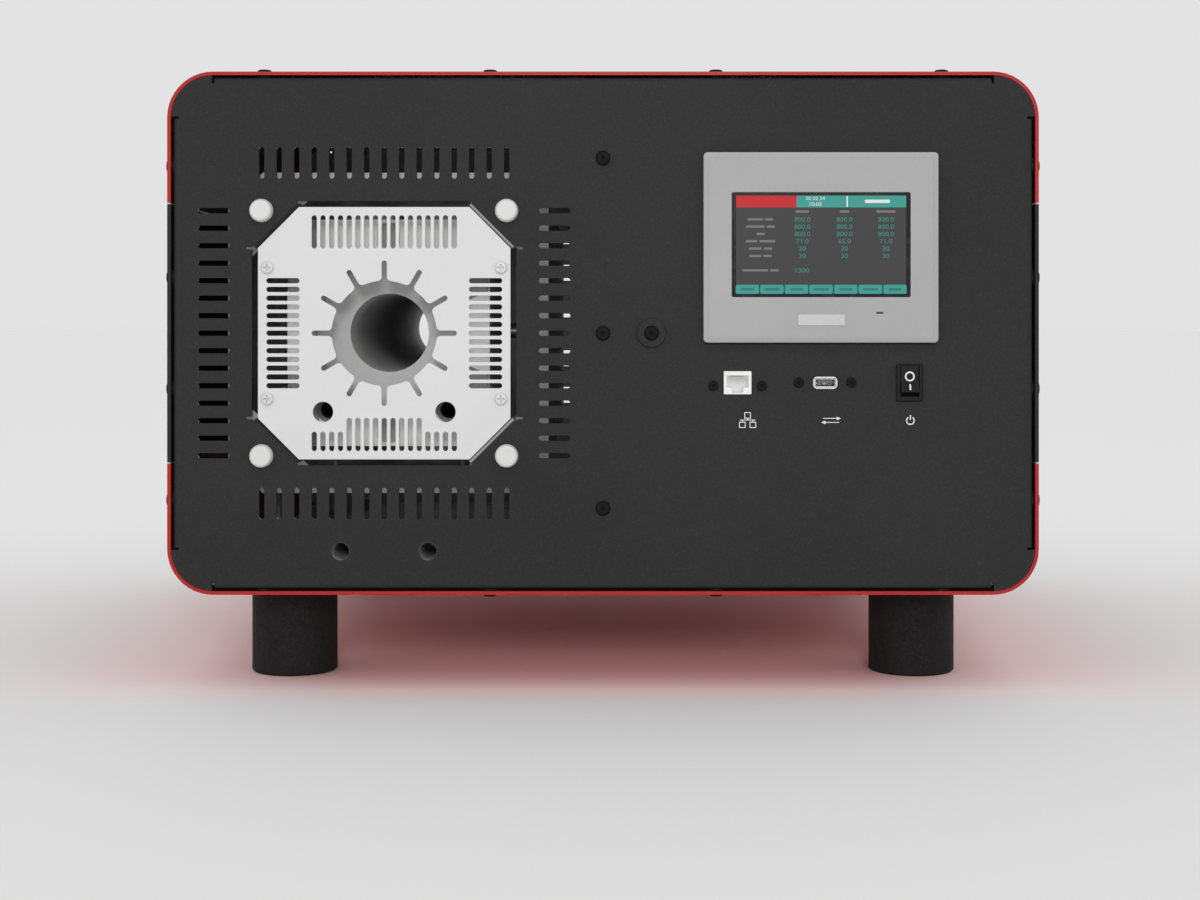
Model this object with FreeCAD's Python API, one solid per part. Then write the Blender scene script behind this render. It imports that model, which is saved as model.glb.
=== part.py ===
import FreeCAD, Part
import math
import os

# A thermocouple calibration furnace: a horizontal tube furnace in a desk case, open at both ends.
# Millimetres. +X is right seen from the front, +Y is towards the back, +Z is up.
# The origin is under the middle of the case, on the surface that the feet stand on.

# Case
case_width = 498.0
case_height = 299.0
case_depth = 485.0
case_corner_radius = 26.2
skin_thickness = 2.0
side_panel_height = 148.6
seam_gap = 0.5
cover_gap = 1.4
fit_gap = 0.15

# Feet
foot_radius = 25.5
foot_height = 54.0
foot_spacing = 372.6
foot_setback = 66.0
foot_bottom_chamfer = 1.0
foot_bolt_radius = 4.0
foot_bolt_head_radius = 6.5
foot_bolt_head_height = 8.0
foot_counterbore_radius = 9.0
foot_web = 10.0
foot_nut_radius = 7.5
foot_nut_height = 6.5

# Folded front and rear panels
panel_thickness = 2.0
bend_inner_radius = 0.5
lip_depth = 16.0
corner_flat = 27.0
relief_width = 1.4
relief_reach = 6.6
pad_radius = 5.5

# Button-head screws
cover_screw_inset = 10.0
cover_screw_pitch = 130.0
side_screw_pitch = 64.0
screws_per_edge = 4
screw_radius = 2.0
screw_hole_radius = 2.25
screw_head_radius = 4.2
screw_head_height = 2.1
screw_head_rounding = 1.5
screw_length = 9.0
screw_socket_radius = 1.3
screw_socket_depth = 1.3

# Furnace axis and the openings around it
axis_x = -125.0
opening_half = 75.5
opening_diagonal = 121.3
opening_relief_length = 3.6
opening_relief_width = 1.5
opening_lip_half_length = 17.4
slot_pitch = 10.0
slot_width = 3.0
slot_length = 18.0
slot_distance = 97.3
slots_per_side = 15

# White end plates
end_plate_half = 72.1
end_plate_diagonal = 120.8
end_plate_thickness = 2.0
gear_radius = 30.0
gear_reach = 41.5
gear_slot_width = 3.0
gear_slots = 12
gear_root_radius = 2.6
vent_pitch = 5.0
vent_width = 3.0
vent_inner = 48.4
vent_outer = 67.4
short_vent_inner = 56.3
vents_per_row = 17
short_vents_per_side = 4
vents_per_column = 13
end_screw_x = 66.75
end_screw_z = 37.5
end_screw_head_radius = 3.6
end_screw_head_height = 1.8
end_screw_length = 7.0
cross_recess_length = 4.0
cross_recess_width = 0.9
cross_recess_depth = 1.0
probe_hole_radius = 5.85
probe_x = 35.0
probe_z = 45.0

# Shroud, tie rods and caps
frame_setback = 22.0
frame_thickness = 1.5
shroud_half = 93.3
shroud_chamfer = 20.0
shroud_thickness = 1.5
frame_opening_half = 81.0
frame_opening_diagonal = 124.0
tie_rod_offset = 70.0
tie_rod_radius = 3.0
rod_clearance = 0.15
spacer_radius = 5.5
cap_base_radius = 6.65
cap_base_height = 2.6
cap_front_radius = 5.9
cap_height = 6.0
cap_thread_depth = 5.5
cap_rounding = 1.6

# Furnace core
core_half_width = 59.0
core_half_height = 66.0
core_casing_thickness = 1.2
core_setback = 25.0
end_board_thickness = 8.0
pad_plate_thickness = 2.0
upright_pad_half_width = 40.5
upright_pad_inner = 47.0
upright_pad_slot_half = 6.5
upright_pad_slot_top = 64.0
level_pad_inner = 46.0
level_pad_angle = 22.5
end_ring_radius = 42.6
end_ring_setback = 28.6
end_ring_thickness = 8.0
bore_radius = 23.0
work_tube_radius = 28.0
tube_seat_depth = 5.0
insulation_bore = 35.2
heater_radius = 34.9
heater_end_gap = 12.0
heater_centre_length = 180.0
heater_spacing = 16.0
heater_groove_pitch = 8.0
heater_groove_width = 3.0
heater_groove_depth = 2.0
heater_post_radius = 3.0
heater_post_offset = 12.0
heater_post_height = 76.0
post_hole_radius = 3.4
control_probe_radius = 1.5
control_probe_hole_radius = 1.8
probe_head_radius = 4.5
probe_head_length = 14.0
pocket_outer_radius = 7.0
pocket_bore_radius = 5.0
pocket_length = 130.0
pocket_end_wall = 5.0
bracket_thickness = 1.5
bracket_height = 12.0
bracket_length = 45.0
stand_half_width = 72.0
stand_depth = 30.0
stand_thickness = 2.0
stand_foot = 16.0
stand_setback = 80.0
core_stand_half_width = 40.0
core_stand_depth = 26.0
core_stand_setback = 95.0

# Chassis
floor_thickness = 2.0
floor_side_gap = 11.0
divider_thickness = 1.5
divider_web_x = -9.0
divider_flange_width = 18.0
divider_top_gap = 4.0
divider_screw_pitch = 100.0
divider_window_width = 150.0
divider_window_height = 60.0
divider_window_drop = 55.0

# Boss and rod sockets on the front panel
boss_x = 27.7
boss_radius = 8.3
boss_height = 1.6
boss_recess_radius = 4.2
boss_recess_depth = 0.8
rod_socket_spacing = 50.0
rod_socket_rise = 17.4
rod_socket_bore = 5.0
rod_socket_radius = 8.0
rod_socket_length = 60.0
rod_socket_end_wall = 4.0
rod_socket_flange_radius = 12.0
rod_socket_flange_thickness = 2.5

# Display unit
display_x = 124.1
display_z = 48.9
bezel_width = 133.6
bezel_height = 108.3
bezel_thickness = 5.0
bezel_corner_radius = 2.3
bezel_bevel_width = 2.6
bezel_bevel_depth = 0.7
glass_width = 101.8
glass_height = 59.7
glass_rise = 1.5
glass_thickness = 2.0
glass_recess = 2.4
glass_corner_radius = 1.0
active_width = 97.4
active_height = 55.9
display_case_width = 117.5
display_case_height = 91.5
display_case_depth = 32.0
display_case_wall = 2.0
display_cutout_gap = 0.5
display_hook_width = 12.0
display_hook_reach = 3.0
display_hook_thickness = 4.0

# Ports and switch
port_z = -28.3
network_x = 76.9
network_width = 15.7
network_height = 13.1
network_proud = 0.6
network_depth = 22.0
network_opening_width = 12.5
network_opening_height = 7.0
network_step_width = 6.6
network_step_height = 3.0
network_opening_rise = 0.7
network_opening_depth = 14.0
network_screw_spacing = 27.7
network_screw_drop = 1.9
data_x = 126.9
data_width = 13.8
data_height = 7.0
data_proud = 0.8
data_depth = 20.0
data_corner_radius = 2.4
data_shell_width = 11.6
data_shell_height = 4.6
data_shell_wall = 0.4
data_screw_spacing = 30.0
port_ear_margin = 4.0
port_ear_thickness = 3.0
port_screw_head_radius = 2.9
port_screw_head_height = 1.2
port_screw_radius = 1.5
port_screw_length = 6.0
switch_x = 175.1
switch_bezel_width = 15.3
switch_bezel_height = 21.3
switch_bezel_proud = 1.6
switch_body_width = 13.0
switch_body_height = 19.6
switch_body_depth = 18.0
rocker_width = 10.2
rocker_height = 15.4
rocker_rise = 1.0
rocker_gap = 0.35
rocker_tilt = 12.0
rocker_pivot_depth = 3.5
rocker_face = 6.2
rocker_dip = 1.5
rocker_back = 3.0
rocker_pin_radius = 1.2
rocker_pin_clearance = 0.05
rocker_pin_length = 0.9
blade_thickness = 0.8
blade_width = 4.8
blade_length = 9.0

# Rear panel: mains inlet and fan
inlet_x = 190.0
inlet_z = -95.0
inlet_flange_width = 50.0
inlet_flange_height = 36.0
inlet_flange_thickness = 2.5
inlet_body_width = 32.0
inlet_body_height = 30.0
inlet_body_depth = 26.0
inlet_cavity_width = 24.6
inlet_cavity_height = 14.4
inlet_cavity_depth = 17.0
inlet_cavity_drop = 5.6
inlet_pin_spacing = 14.0
inlet_earth_rise = 3.2
inlet_pin_width = 2.0
inlet_pin_height = 4.0
inlet_pin_length = 12.0
inlet_screw_spacing = 40.0
drawer_width = 22.0
drawer_height = 7.6
drawer_depth = 22.0
drawer_rise = 9.2
drawer_gap = 0.2
drawer_wall = 1.2
drawer_face_proud = 0.8
fuse_count = 2
fan_x = 118.0
fan_z = 52.0
fan_size = 80.0
fan_depth = 25.0
fan_duct_radius = 38.0
fan_hole_spacing = 71.5
fan_corner_radius = 4.0
fan_hub_radius = 17.0
fan_blade_clearance = 1.0
fan_blades = 7
fan_blade_thickness = 1.4
fan_blade_chord = 19.0
fan_pin_radius = 1.5
fan_pin_clearance = 0.05
fan_motor_height = 5.0
fan_strut_width = 4.0
guard_wire_radius = 0.9
guard_hub_radius = 6.0
guard_rings = 4

# Electronics
heat_sink_width = 110.0
heat_sink_length = 120.0
heat_sink_height = 40.0
heat_sink_base = 8.0
heat_sink_fin = 2.0
heat_sink_fin_pitch = 9.0
heat_sink_x = 110.0
heat_sink_y = 60.0
relay_width = 28.0
relay_length = 58.0
relay_height = 23.0
relay_count = 3
supply_width = 98.0
supply_length = 150.0
supply_height = 38.0
supply_x = 110.0
supply_y = -110.0
rail_height = 35.0
rail_depth = 7.5
rail_thickness = 1.0
rail_length = 190.0
rail_z = 75.0
module_length = 45.0
module_height = 96.0
module_depth = 80.0
module_count = 3
module_spacing = 56.0

# Worked out from the sizes above
case_centre_z = foot_height + case_height / 2
front_y = -case_depth / 2
rear_y = case_depth / 2
inner_half_width = case_width / 2 - skin_thickness
inner_half_height = case_height / 2 - skin_thickness
bend_outer_radius = bend_inner_radius + panel_thickness
lip_height = inner_half_height - cover_gap - panel_thickness
lip_half_width = inner_half_width - cover_gap - panel_thickness
floor_bottom_z = case_centre_z - lip_height
floor_top_z = floor_bottom_z + floor_thickness
frame_y = front_y + frame_setback
shroud_y = frame_y + frame_thickness
core_y = front_y + core_setback
board_back_y = core_y + end_board_thickness
ring_y = front_y + end_ring_setback
ring_back_y = ring_y + end_ring_thickness
tube_y = ring_back_y - tube_seat_depth
panel_back_y = front_y + panel_thickness
switch_z = case_centre_z + port_z
rocker_pivot_y = front_y + rocker_pivot_depth
rocker_pivot_z = switch_z + rocker_rise
fan_back_y = rear_y - panel_thickness
fan_front_y = fan_back_y - fan_depth
diagonal_lip_distance = opening_diagonal / math.sqrt(2)
opening_bend_diagonal = opening_diagonal + bend_outer_radius * math.sqrt(2)


# Basic solids

def point(x, y, z):
    return FreeCAD.Vector(x, y, z)


def block(x0, x1, y0, y1, z0, z1):
    return Part.makeBox(x1 - x0, y1 - y0, z1 - z0, point(x0, y0, z0))


def bar_along_x(radius, x0, x1, y, z):
    return Part.makeCylinder(radius, x1 - x0, point(x0, y, z), point(1, 0, 0))


def bar_along_y(radius, y0, y1, x, z):
    return Part.makeCylinder(radius, y1 - y0, point(x, y0, z), point(0, 1, 0))


def bar_along_z(radius, z0, z1, x, y):
    return Part.makeCylinder(radius, z1 - z0, point(x, y, z0), point(0, 0, 1))


def pipe_along_y(outer, inner, y0, y1, x, z):
    return bar_along_y(outer, y0, y1, x, z).cut(bar_along_y(inner, y0 - 1, y1 + 1, x, z))


def merged(shapes):
    if len(shapes) == 1:
        return shapes[0]
    return shapes[0].multiFuse(shapes[1:]).removeSplitter()


def group(shapes):
    return Part.makeCompound(shapes)


def cut_from(shape, cutters):
    return shape.cut(cutters)


def to_rear(shape):
    return shape.mirror(point(0, 0, 0), point(0, 1, 0))


def flipped(shape, z):
    return shape.mirror(point(0, 0, z), point(0, 0, 1))


def both_ends(shapes):
    return shapes + [to_rear(shape) for shape in shapes]


def turned_about_y(shape, x, z, angle):
    turned = shape.copy()
    turned.rotate(point(x, 0, z), point(0, 1, 0), angle)
    return turned


def placed(shape, place, facing):
    turned = shape.copy()
    turned.Placement = FreeCAD.Placement(place, FreeCAD.Rotation(point(0, 0, 1), facing))
    return turned


def prism_along_y(outline, y0, y1):
    corners = [point(x, y0, z) for x, z in outline]
    face = Part.Face(Part.makePolygon(corners + corners[:1]))
    return face.extrude(point(0, y1 - y0, 0))


def prism_along_x(outline, x0, x1):
    corners = [point(x0, y, z) for y, z in outline]
    face = Part.Face(Part.makePolygon(corners + corners[:1]))
    return face.extrude(point(x1 - x0, 0, 0))


def rounded_outline(width, height, radius, x, z, y):
    half_x = width / 2
    half_z = height / 2
    inset = radius * (1 - math.sqrt(0.5))
    edges = []
    for side_x, side_z in ((1, 1), (-1, 1), (-1, -1), (1, -1)):
        level = point(x + side_x * (half_x - radius), y, z + side_z * half_z)
        middle = point(x + side_x * (half_x - inset), y, z + side_z * (half_z - inset))
        upright = point(x + side_x * half_x, y, z + side_z * (half_z - radius))
        ends = (upright, level) if side_x * side_z > 0 else (level, upright)
        edges.append((ends[0], middle, ends[1]))
    curves = []
    for index, (start, middle, finish) in enumerate(edges):
        curves.append(Part.Arc(start, middle, finish).toShape())
        following = edges[(index + 1) % len(edges)][0]
        curves.append(Part.LineSegment(finish, following).toShape())
    return Part.Wire(curves)


def rounded_prism(width, height, radius, x, z, y0, y1):
    face = Part.Face(rounded_outline(width, height, radius, x, z, y0))
    return face.extrude(point(0, y1 - y0, 0))


def slot_prism(start, finish, width, y0, y1):
    run_x = finish[0] - start[0]
    run_z = finish[1] - start[1]
    run = math.hypot(run_x, run_z)
    along = point(run_x / run, 0, run_z / run) * (width / 2)
    across = point(-run_z / run, 0, run_x / run) * (width / 2)
    begin = point(start[0], y0, start[1])
    end = point(finish[0], y0, finish[1])
    wire = Part.Wire([
        Part.LineSegment(begin + across, end + across).toShape(),
        Part.Arc(end + across, end + along, end - across).toShape(),
        Part.LineSegment(end - across, begin - across).toShape(),
        Part.Arc(begin - across, begin - along, begin + across).toShape(),
    ])
    return Part.Face(wire).extrude(point(0, y1 - y0, 0))


def octagon(half, diagonal, x, z):
    rest = diagonal - half
    corners = [(half, rest), (rest, half), (-rest, half), (-half, rest),
               (-half, -rest), (-rest, -half), (rest, -half), (half, -rest)]
    return [(x + corner_x, z + corner_z) for corner_x, corner_z in corners]


def spread(count, pitch):
    return [(index - (count - 1) / 2) * pitch for index in range(count)]


def corner_pairs(offset_x, offset_z):
    return [(sign_x * offset_x, sign_z * offset_z) for sign_x in (-1, 1) for sign_z in (-1, 1)]


# Fasteners: each is made head up at the origin and then placed

def hexagon(radius, z0, z1):
    corners = [point(radius * math.cos(math.radians(60 * step)), radius * math.sin(math.radians(60 * step)), z0)
               for step in range(6)]
    return Part.Face(Part.makePolygon(corners + corners[:1])).extrude(point(0, 0, z1 - z0))


def button_screw(head_radius, head_height, rounding, shank_radius, shank_length):
    head = bar_along_z(head_radius, 0, head_height, 0, 0)
    top_edges = [edge for edge in head.Edges if abs(edge.BoundBox.ZMin - head_height) < 1e-6]
    head = head.makeFillet(rounding, top_edges)
    shank = bar_along_z(shank_radius, -shank_length, 0, 0, 0)
    socket = hexagon(screw_socket_radius, head_height - screw_socket_depth, head_height + 1)
    return cut_from(merged([head, shank]), [socket])


def standard_screw():
    return button_screw(screw_head_radius, screw_head_height, screw_head_rounding,
                        screw_radius - fit_gap / 2, screw_length)


def cross_screw():
    head = bar_along_z(end_screw_head_radius, 0, end_screw_head_height, 0, 0)
    top_edges = [edge for edge in head.Edges if abs(edge.BoundBox.ZMin - end_screw_head_height) < 1e-6]
    head = head.makeFillet(end_screw_head_height * 0.6, top_edges)
    shank = bar_along_z(screw_radius - fit_gap / 2, -end_screw_length, 0, 0, 0)
    half_length = cross_recess_length / 2
    half_width = cross_recess_width / 2
    recess_z = end_screw_head_height - cross_recess_depth
    arms = [block(-half_length, half_length, -half_width, half_width, recess_z, end_screw_head_height + 1),
            block(-half_width, half_width, -half_length, half_length, recess_z, end_screw_head_height + 1)]
    return cut_from(merged([head, shank]), arms)


# Case skin

def skin_ring():
    outer = rounded_prism(case_width, case_height, case_corner_radius, 0, case_centre_z, front_y, rear_y)
    inner = rounded_prism(2 * inner_half_width, 2 * inner_half_height, case_corner_radius - skin_thickness,
                          0, case_centre_z, front_y - 1, rear_y + 1)
    return outer.cut(inner)


def cover_screw_places():
    places = []
    for y in (front_y + cover_screw_inset, rear_y - cover_screw_inset):
        for x in spread(screws_per_edge, cover_screw_pitch):
            places.append((point(x, y, case_centre_z + case_height / 2), point(0, 0, 1)))
            places.append((point(x, y, case_centre_z - case_height / 2), point(0, 0, -1)))
        for z in spread(screws_per_edge, side_screw_pitch):
            places.append((point(case_width / 2, y, case_centre_z + z), point(1, 0, 0)))
            places.append((point(-case_width / 2, y, case_centre_z + z), point(-1, 0, 0)))
    return places


def cover_screw_holes():
    drill = bar_along_z(screw_hole_radius, -2 * skin_thickness, skin_thickness, 0, 0)
    return [placed(drill, place, facing) for place, facing in cover_screw_places()]


def make_covers():
    shell = cut_from(skin_ring(), cover_screw_holes())
    reach = case_width
    split = side_panel_height / 2
    over = block(-reach, reach, front_y - 1, rear_y + 1, case_centre_z + split, case_centre_z + reach)
    under = block(-reach, reach, front_y - 1, rear_y + 1, case_centre_z - reach, case_centre_z - split)
    foot_holes = [bar_along_z(foot_bolt_radius + 0.5, foot_height - 1, foot_height + skin_thickness + 1, x, y)
                  for x, y in foot_places()]
    save("top_cover", shell.common(over))
    save("bottom_cover", cut_from(shell.common(under), foot_holes))
    between = block(0, reach, front_y - 1, rear_y + 1, case_centre_z - split + seam_gap,
                    case_centre_z + split - seam_gap)
    save("side_panel_right", shell.common(between))
    save("side_panel_left", shell.common(between.mirror(point(0, 0, 0), point(1, 0, 0))))


def make_cover_screws():
    screw = standard_screw()
    save("cover_screws", group([placed(screw, place, facing) for place, facing in cover_screw_places()]))


# Feet

def foot_places():
    depth = case_depth / 2 - foot_setback
    return corner_pairs(foot_spacing / 2, depth)


def make_feet():
    feet = []
    bolts = []
    for x, y in foot_places():
        foot = bar_along_z(foot_radius, 0, foot_height, x, y)
        rim = [edge for edge in foot.Edges if edge.BoundBox.ZMax < 1e-6]
        foot = foot.makeChamfer(foot_bottom_chamfer, rim)
        hollow = bar_along_z(foot_counterbore_radius, -1, foot_height - foot_web, x, y)
        hole = bar_along_z(foot_bolt_radius + 0.5, 0, foot_height + 1, x, y)
        feet.append(cut_from(foot, [hollow, hole]))
        head_z = foot_height - foot_web - foot_bolt_head_height
        head = bar_along_z(foot_bolt_head_radius, head_z, head_z + foot_bolt_head_height, x, y)
        key = placed(hexagon(3.4, -1, foot_bolt_head_height / 2), point(x, y, head_z), point(0, 0, 1))
        shank = bar_along_z(foot_bolt_radius, foot_height - foot_web, floor_top_z + foot_nut_height + 2, x, y)
        bolts.append(cut_from(merged([head, shank]), [key]))
        nut = placed(hexagon(foot_nut_radius, 0, foot_nut_height), point(x, y, floor_top_z), point(0, 0, 1))
        bolts.append(cut_from(nut, [bar_along_z(foot_bolt_radius, 0, case_height, x, y)]))
        collar = bar_along_z(foot_nut_radius, foot_height + skin_thickness, floor_bottom_z, x, y)
        bolts.append(cut_from(collar, [bar_along_z(foot_bolt_radius + 0.5, 0, case_height, x, y)]))
    save("feet", group(feet))
    save("foot_bolts", group(bolts))


# Folded front and rear panels

def folded_lip(height, depth, half_length, gap, screw_offsets):
    # A lip folded back along the top edge at +Z, with raised pads that carry the cover screws
    outer = bend_outer_radius
    inner = bend_inner_radius
    middle_outer = outer * (1 - math.sqrt(0.5))
    middle_inner = outer - inner * math.sqrt(0.5)
    y0 = front_y
    x0 = -half_length
    top = height
    under = height - panel_thickness

    def at(y, z):
        return point(x0, y0 + y, z)

    wire = Part.Wire([
        Part.Arc(at(0, top - outer), at(middle_outer, top - middle_outer), at(outer, top)).toShape(),
        Part.LineSegment(at(outer, top), at(depth, top)).toShape(),
        Part.LineSegment(at(depth, top), at(depth, under)).toShape(),
        Part.LineSegment(at(depth, under), at(outer, under)).toShape(),
        Part.Arc(at(outer, under), at(middle_inner, top - middle_inner),
                 at(panel_thickness, top - outer)).toShape(),
        Part.LineSegment(at(panel_thickness, top - outer), at(0, top - outer)).toShape(),
    ])
    shapes = [Part.Face(wire).extrude(point(2 * half_length, 0, 0))]
    for x in screw_offsets:
        shapes.append(bar_along_z(pad_radius, under, top + gap, x, y0 + cover_screw_inset))
    holes = [bar_along_z(screw_radius, under - 1, top + gap + 1, x, y0 + cover_screw_inset)
             for x in screw_offsets]
    lip = merged(shapes)
    return cut_from(lip, holes) if holes else lip


def edge_lips():
    lips = []
    top_edge = inner_half_height - cover_gap
    side_edge = inner_half_width - cover_gap
    top_half = case_width / 2 - corner_flat
    side_half = case_height / 2 - corner_flat
    top_lip = folded_lip(top_edge, lip_depth, top_half, cover_gap, spread(screws_per_edge, cover_screw_pitch))
    side_lip = folded_lip(side_edge, lip_depth, side_half, cover_gap, spread(screws_per_edge, side_screw_pitch))
    for angle in (0, 180):
        lips.append(turned_about_y(top_lip, 0, 0, angle))
        lips.append(turned_about_y(side_lip, 0, 0, angle + 90))
    for lip in lips:
        lip.translate(point(0, 0, case_centre_z))
    return lips


def edge_strips():
    # What is taken off the flat sheet where the lips are folded, and the reliefs at their ends
    strips = []
    deep = 3 * bend_outer_radius
    y0 = front_y - 1
    y1 = front_y + deep
    top_half = case_width / 2 - corner_flat
    side_half = case_height / 2 - corner_flat
    top_flat = inner_half_height - cover_gap - bend_outer_radius
    side_flat = inner_half_width - cover_gap - bend_outer_radius
    for sign in (-1, 1):
        z_near, z_far = sorted((sign * top_flat, sign * case_height))
        strips.append(block(-top_half, top_half, y0, y1, z_near, z_far))
        x_near, x_far = sorted((sign * side_flat, sign * case_width))
        strips.append(block(x_near, x_far, y0, y1, -side_half, side_half))
        for end in (-1, 1):
            x_near, x_far = sorted((end * top_half, end * (top_half + relief_width)))
            z_near, z_far = sorted((sign * (case_height / 2 - relief_reach), sign * case_height))
            strips.append(block(x_near, x_far, y0, y1, z_near, z_far))
            z_near, z_far = sorted((end * side_half, end * (side_half + relief_width)))
            x_near, x_far = sorted((sign * (case_width / 2 - relief_reach), sign * case_width))
            strips.append(block(x_near, x_far, y0, y1, z_near, z_far))
    for strip in strips:
        strip.translate(point(0, 0, case_centre_z))
    return strips


def diagonal_lips():
    # Four lips folded back from the slanting sides of the furnace opening to the shroud frame
    inward = folded_lip(-diagonal_lip_distance, frame_setback,
                        opening_lip_half_length, 0, [])
    lips = []
    for angle in (45, 135, 225, 315):
        lip = turned_about_y(inward, 0, 0, angle)
        lip.translate(point(axis_x, 0, case_centre_z))
        lips.append(lip)
    return lips


def furnace_opening_cutters():
    y0 = front_y - 1
    y1 = front_y + panel_thickness + 1
    cutters = [prism_along_y(octagon(opening_half, opening_bend_diagonal, axis_x, case_centre_z), y0, y1)]
    half = opening_relief_width / 2
    relief_z = opening_bend_diagonal - opening_half - half
    for side in (-1, 1):
        x_near, x_far = sorted((side * (opening_half - 1), side * (opening_half + opening_relief_length)))
        for z in (-relief_z, relief_z):
            cutters.append(block(axis_x + x_near, axis_x + x_far, y0, y1,
                                 case_centre_z + z - half, case_centre_z + z + half))
    reach = (slot_length - slot_width) / 2
    for offset in spread(slots_per_side, slot_pitch):
        for side in (-1, 1):
            near = side * (slot_distance - reach)
            far = side * (slot_distance + reach)
            x = axis_x + offset
            cutters.append(slot_prism((x, case_centre_z + near), (x, case_centre_z + far), slot_width, y0, y1))
            z = case_centre_z + offset
            cutters.append(slot_prism((axis_x + near, z), (axis_x + far, z), slot_width, y0, y1))
    for x, z in corner_pairs(tie_rod_offset, tie_rod_offset):
        cutters.append(bar_along_y(tie_rod_radius + rod_clearance, y0, y1, axis_x + x, case_centre_z + z))
    return cutters


def divider_screw_heights():
    return [case_centre_z + z for z in spread(3, divider_screw_pitch)]


def folded_panel():
    # The sheet that both ends share: folded edges, furnace opening, vents and divider screw holes
    width = 2 * (inner_half_width - fit_gap)
    height = 2 * (inner_half_height - fit_gap)
    sheet = rounded_prism(width, height, case_corner_radius - skin_thickness - fit_gap, 0, case_centre_z,
                          front_y, panel_back_y)
    cutters = edge_strips() + furnace_opening_cutters()
    for z in divider_screw_heights():
        cutters.append(bar_along_y(screw_hole_radius, front_y - 1, panel_back_y + 1, 0, z))
    sheet = cut_from(sheet, cutters)
    return merged([sheet] + edge_lips() + diagonal_lips())


def port_screw_places():
    places = []
    for side in (-0.5, 0.5):
        places.append((network_x + side * network_screw_spacing, switch_z - network_screw_drop))
        places.append((data_x + side * data_screw_spacing, switch_z))
    return places


def rod_socket_places():
    return [(axis_x + side * rod_socket_spacing / 2, floor_top_z + rod_socket_rise) for side in (-1, 1)]


def make_front_panel():
    y0 = front_y - 1
    y1 = panel_back_y + 1
    gap = display_cutout_gap
    cutters = [
        block(display_x - display_case_width / 2 - gap, display_x + display_case_width / 2 + gap, y0, y1,
              case_centre_z + display_z - display_case_height / 2 - gap,
              case_centre_z + display_z + display_case_height / 2 + gap),
        rounded_prism(network_width + 2 * fit_gap, network_height + 2 * fit_gap, 0.5,
                      network_x, switch_z, y0, y1),
        rounded_prism(data_width + 2 * fit_gap, data_height + 2 * fit_gap, data_corner_radius,
                      data_x, switch_z, y0, y1),
        rounded_prism(switch_body_width + 2 * fit_gap, switch_body_height + 2 * fit_gap, 0.5,
                      switch_x, switch_z, y0, y1),
        bar_along_y(screw_hole_radius, y0, y1, boss_x, case_centre_z),
    ]
    for x, z in port_screw_places():
        cutters.append(bar_along_y(port_screw_radius + fit_gap, y0, y1, x, z))
    for x, z in rod_socket_places():
        cutters.append(bar_along_y(rod_socket_bore, y0, y1, x, z))
    save("front_panel", cut_from(folded_panel(), cutters))


def fan_screw_places():
    half = fan_hole_spacing / 2
    return [(fan_x + x, case_centre_z + fan_z + z) for x, z in corner_pairs(half, half)]


def inlet_screw_places():
    return [(inlet_x + side * inlet_screw_spacing / 2, case_centre_z + inlet_z) for side in (-1, 1)]


def make_rear_panel():
    y0 = rear_y - panel_thickness - 1
    y1 = rear_y + 1
    cutters = [
        bar_along_y(fan_duct_radius, y0, y1, fan_x, case_centre_z + fan_z),
        rounded_prism(inlet_body_width + 2 * fit_gap, inlet_body_height + 2 * fit_gap, 1.0,
                      inlet_x, case_centre_z + inlet_z, y0, y1),
    ]
    for x, z in fan_screw_places() + inlet_screw_places():
        cutters.append(bar_along_y(screw_hole_radius, y0, y1, x, z))
    save("rear_panel", cut_from(to_rear(folded_panel()), cutters))


# Chassis floor and divider

def make_chassis_floor():
    half = lip_half_width - floor_side_gap
    end = case_depth / 2 - bend_outer_radius - fit_gap
    sheet = block(-half, half, -end, end, floor_bottom_z, floor_top_z)
    holes = [bar_along_z(foot_bolt_radius + 0.5, floor_bottom_z - 1, floor_top_z + 1, x, y)
             for x, y in foot_places()]
    for x in spread(screws_per_edge, cover_screw_pitch):
        for y in (front_y + cover_screw_inset, rear_y - cover_screw_inset):
            holes.append(bar_along_z(pad_radius, floor_bottom_z - 1, floor_top_z + 1, x, y))
    save("chassis_floor", cut_from(sheet, holes))


def make_divider():
    top = case_centre_z + lip_height - divider_top_gap
    front = panel_back_y
    back = rear_y - panel_thickness
    web_end = divider_web_x + divider_thickness
    flange_end = divider_web_x + divider_flange_width
    web = block(divider_web_x, web_end, front, back, floor_top_z, top)
    window_z = case_centre_z - divider_window_drop
    window = block(divider_web_x - 1, web_end + 1, -divider_window_width / 2, divider_window_width / 2,
                   window_z - divider_window_height / 2, window_z + divider_window_height / 2)
    web = web.cut(window)
    front_flange = block(divider_web_x, flange_end, front, front + divider_thickness, floor_top_z, top)
    rear_flange = block(divider_web_x, flange_end, back - divider_thickness, back, floor_top_z, top)
    bottom_flange = block(divider_web_x, flange_end, front, back, floor_top_z, floor_top_z + divider_thickness)
    divider = merged([web, front_flange, rear_flange, bottom_flange])
    holes = [bar_along_y(screw_radius, front_y, rear_y, 0, z) for z in divider_screw_heights()]
    save("divider_panel", cut_from(divider, holes))


def make_panel_screws():
    screw = standard_screw()
    ahead = point(0, -1, 0)
    behind = point(0, 1, 0)
    screws = []
    for z in divider_screw_heights():
        screws.append(placed(screw, point(0, front_y, z), ahead))
        screws.append(placed(screw, point(0, rear_y, z), behind))
    boss_face = front_y - boss_height + boss_recess_depth
    screws.append(placed(screw, point(boss_x, boss_face, case_centre_z), ahead))
    for x, z in fan_screw_places():
        screws.append(placed(screw, point(x, rear_y + 2 * guard_wire_radius, z), behind))
    for x, z in inlet_screw_places():
        screws.append(placed(screw, point(x, rear_y + inlet_flange_thickness, z), behind))
    save("panel_screws", group(screws))


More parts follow.
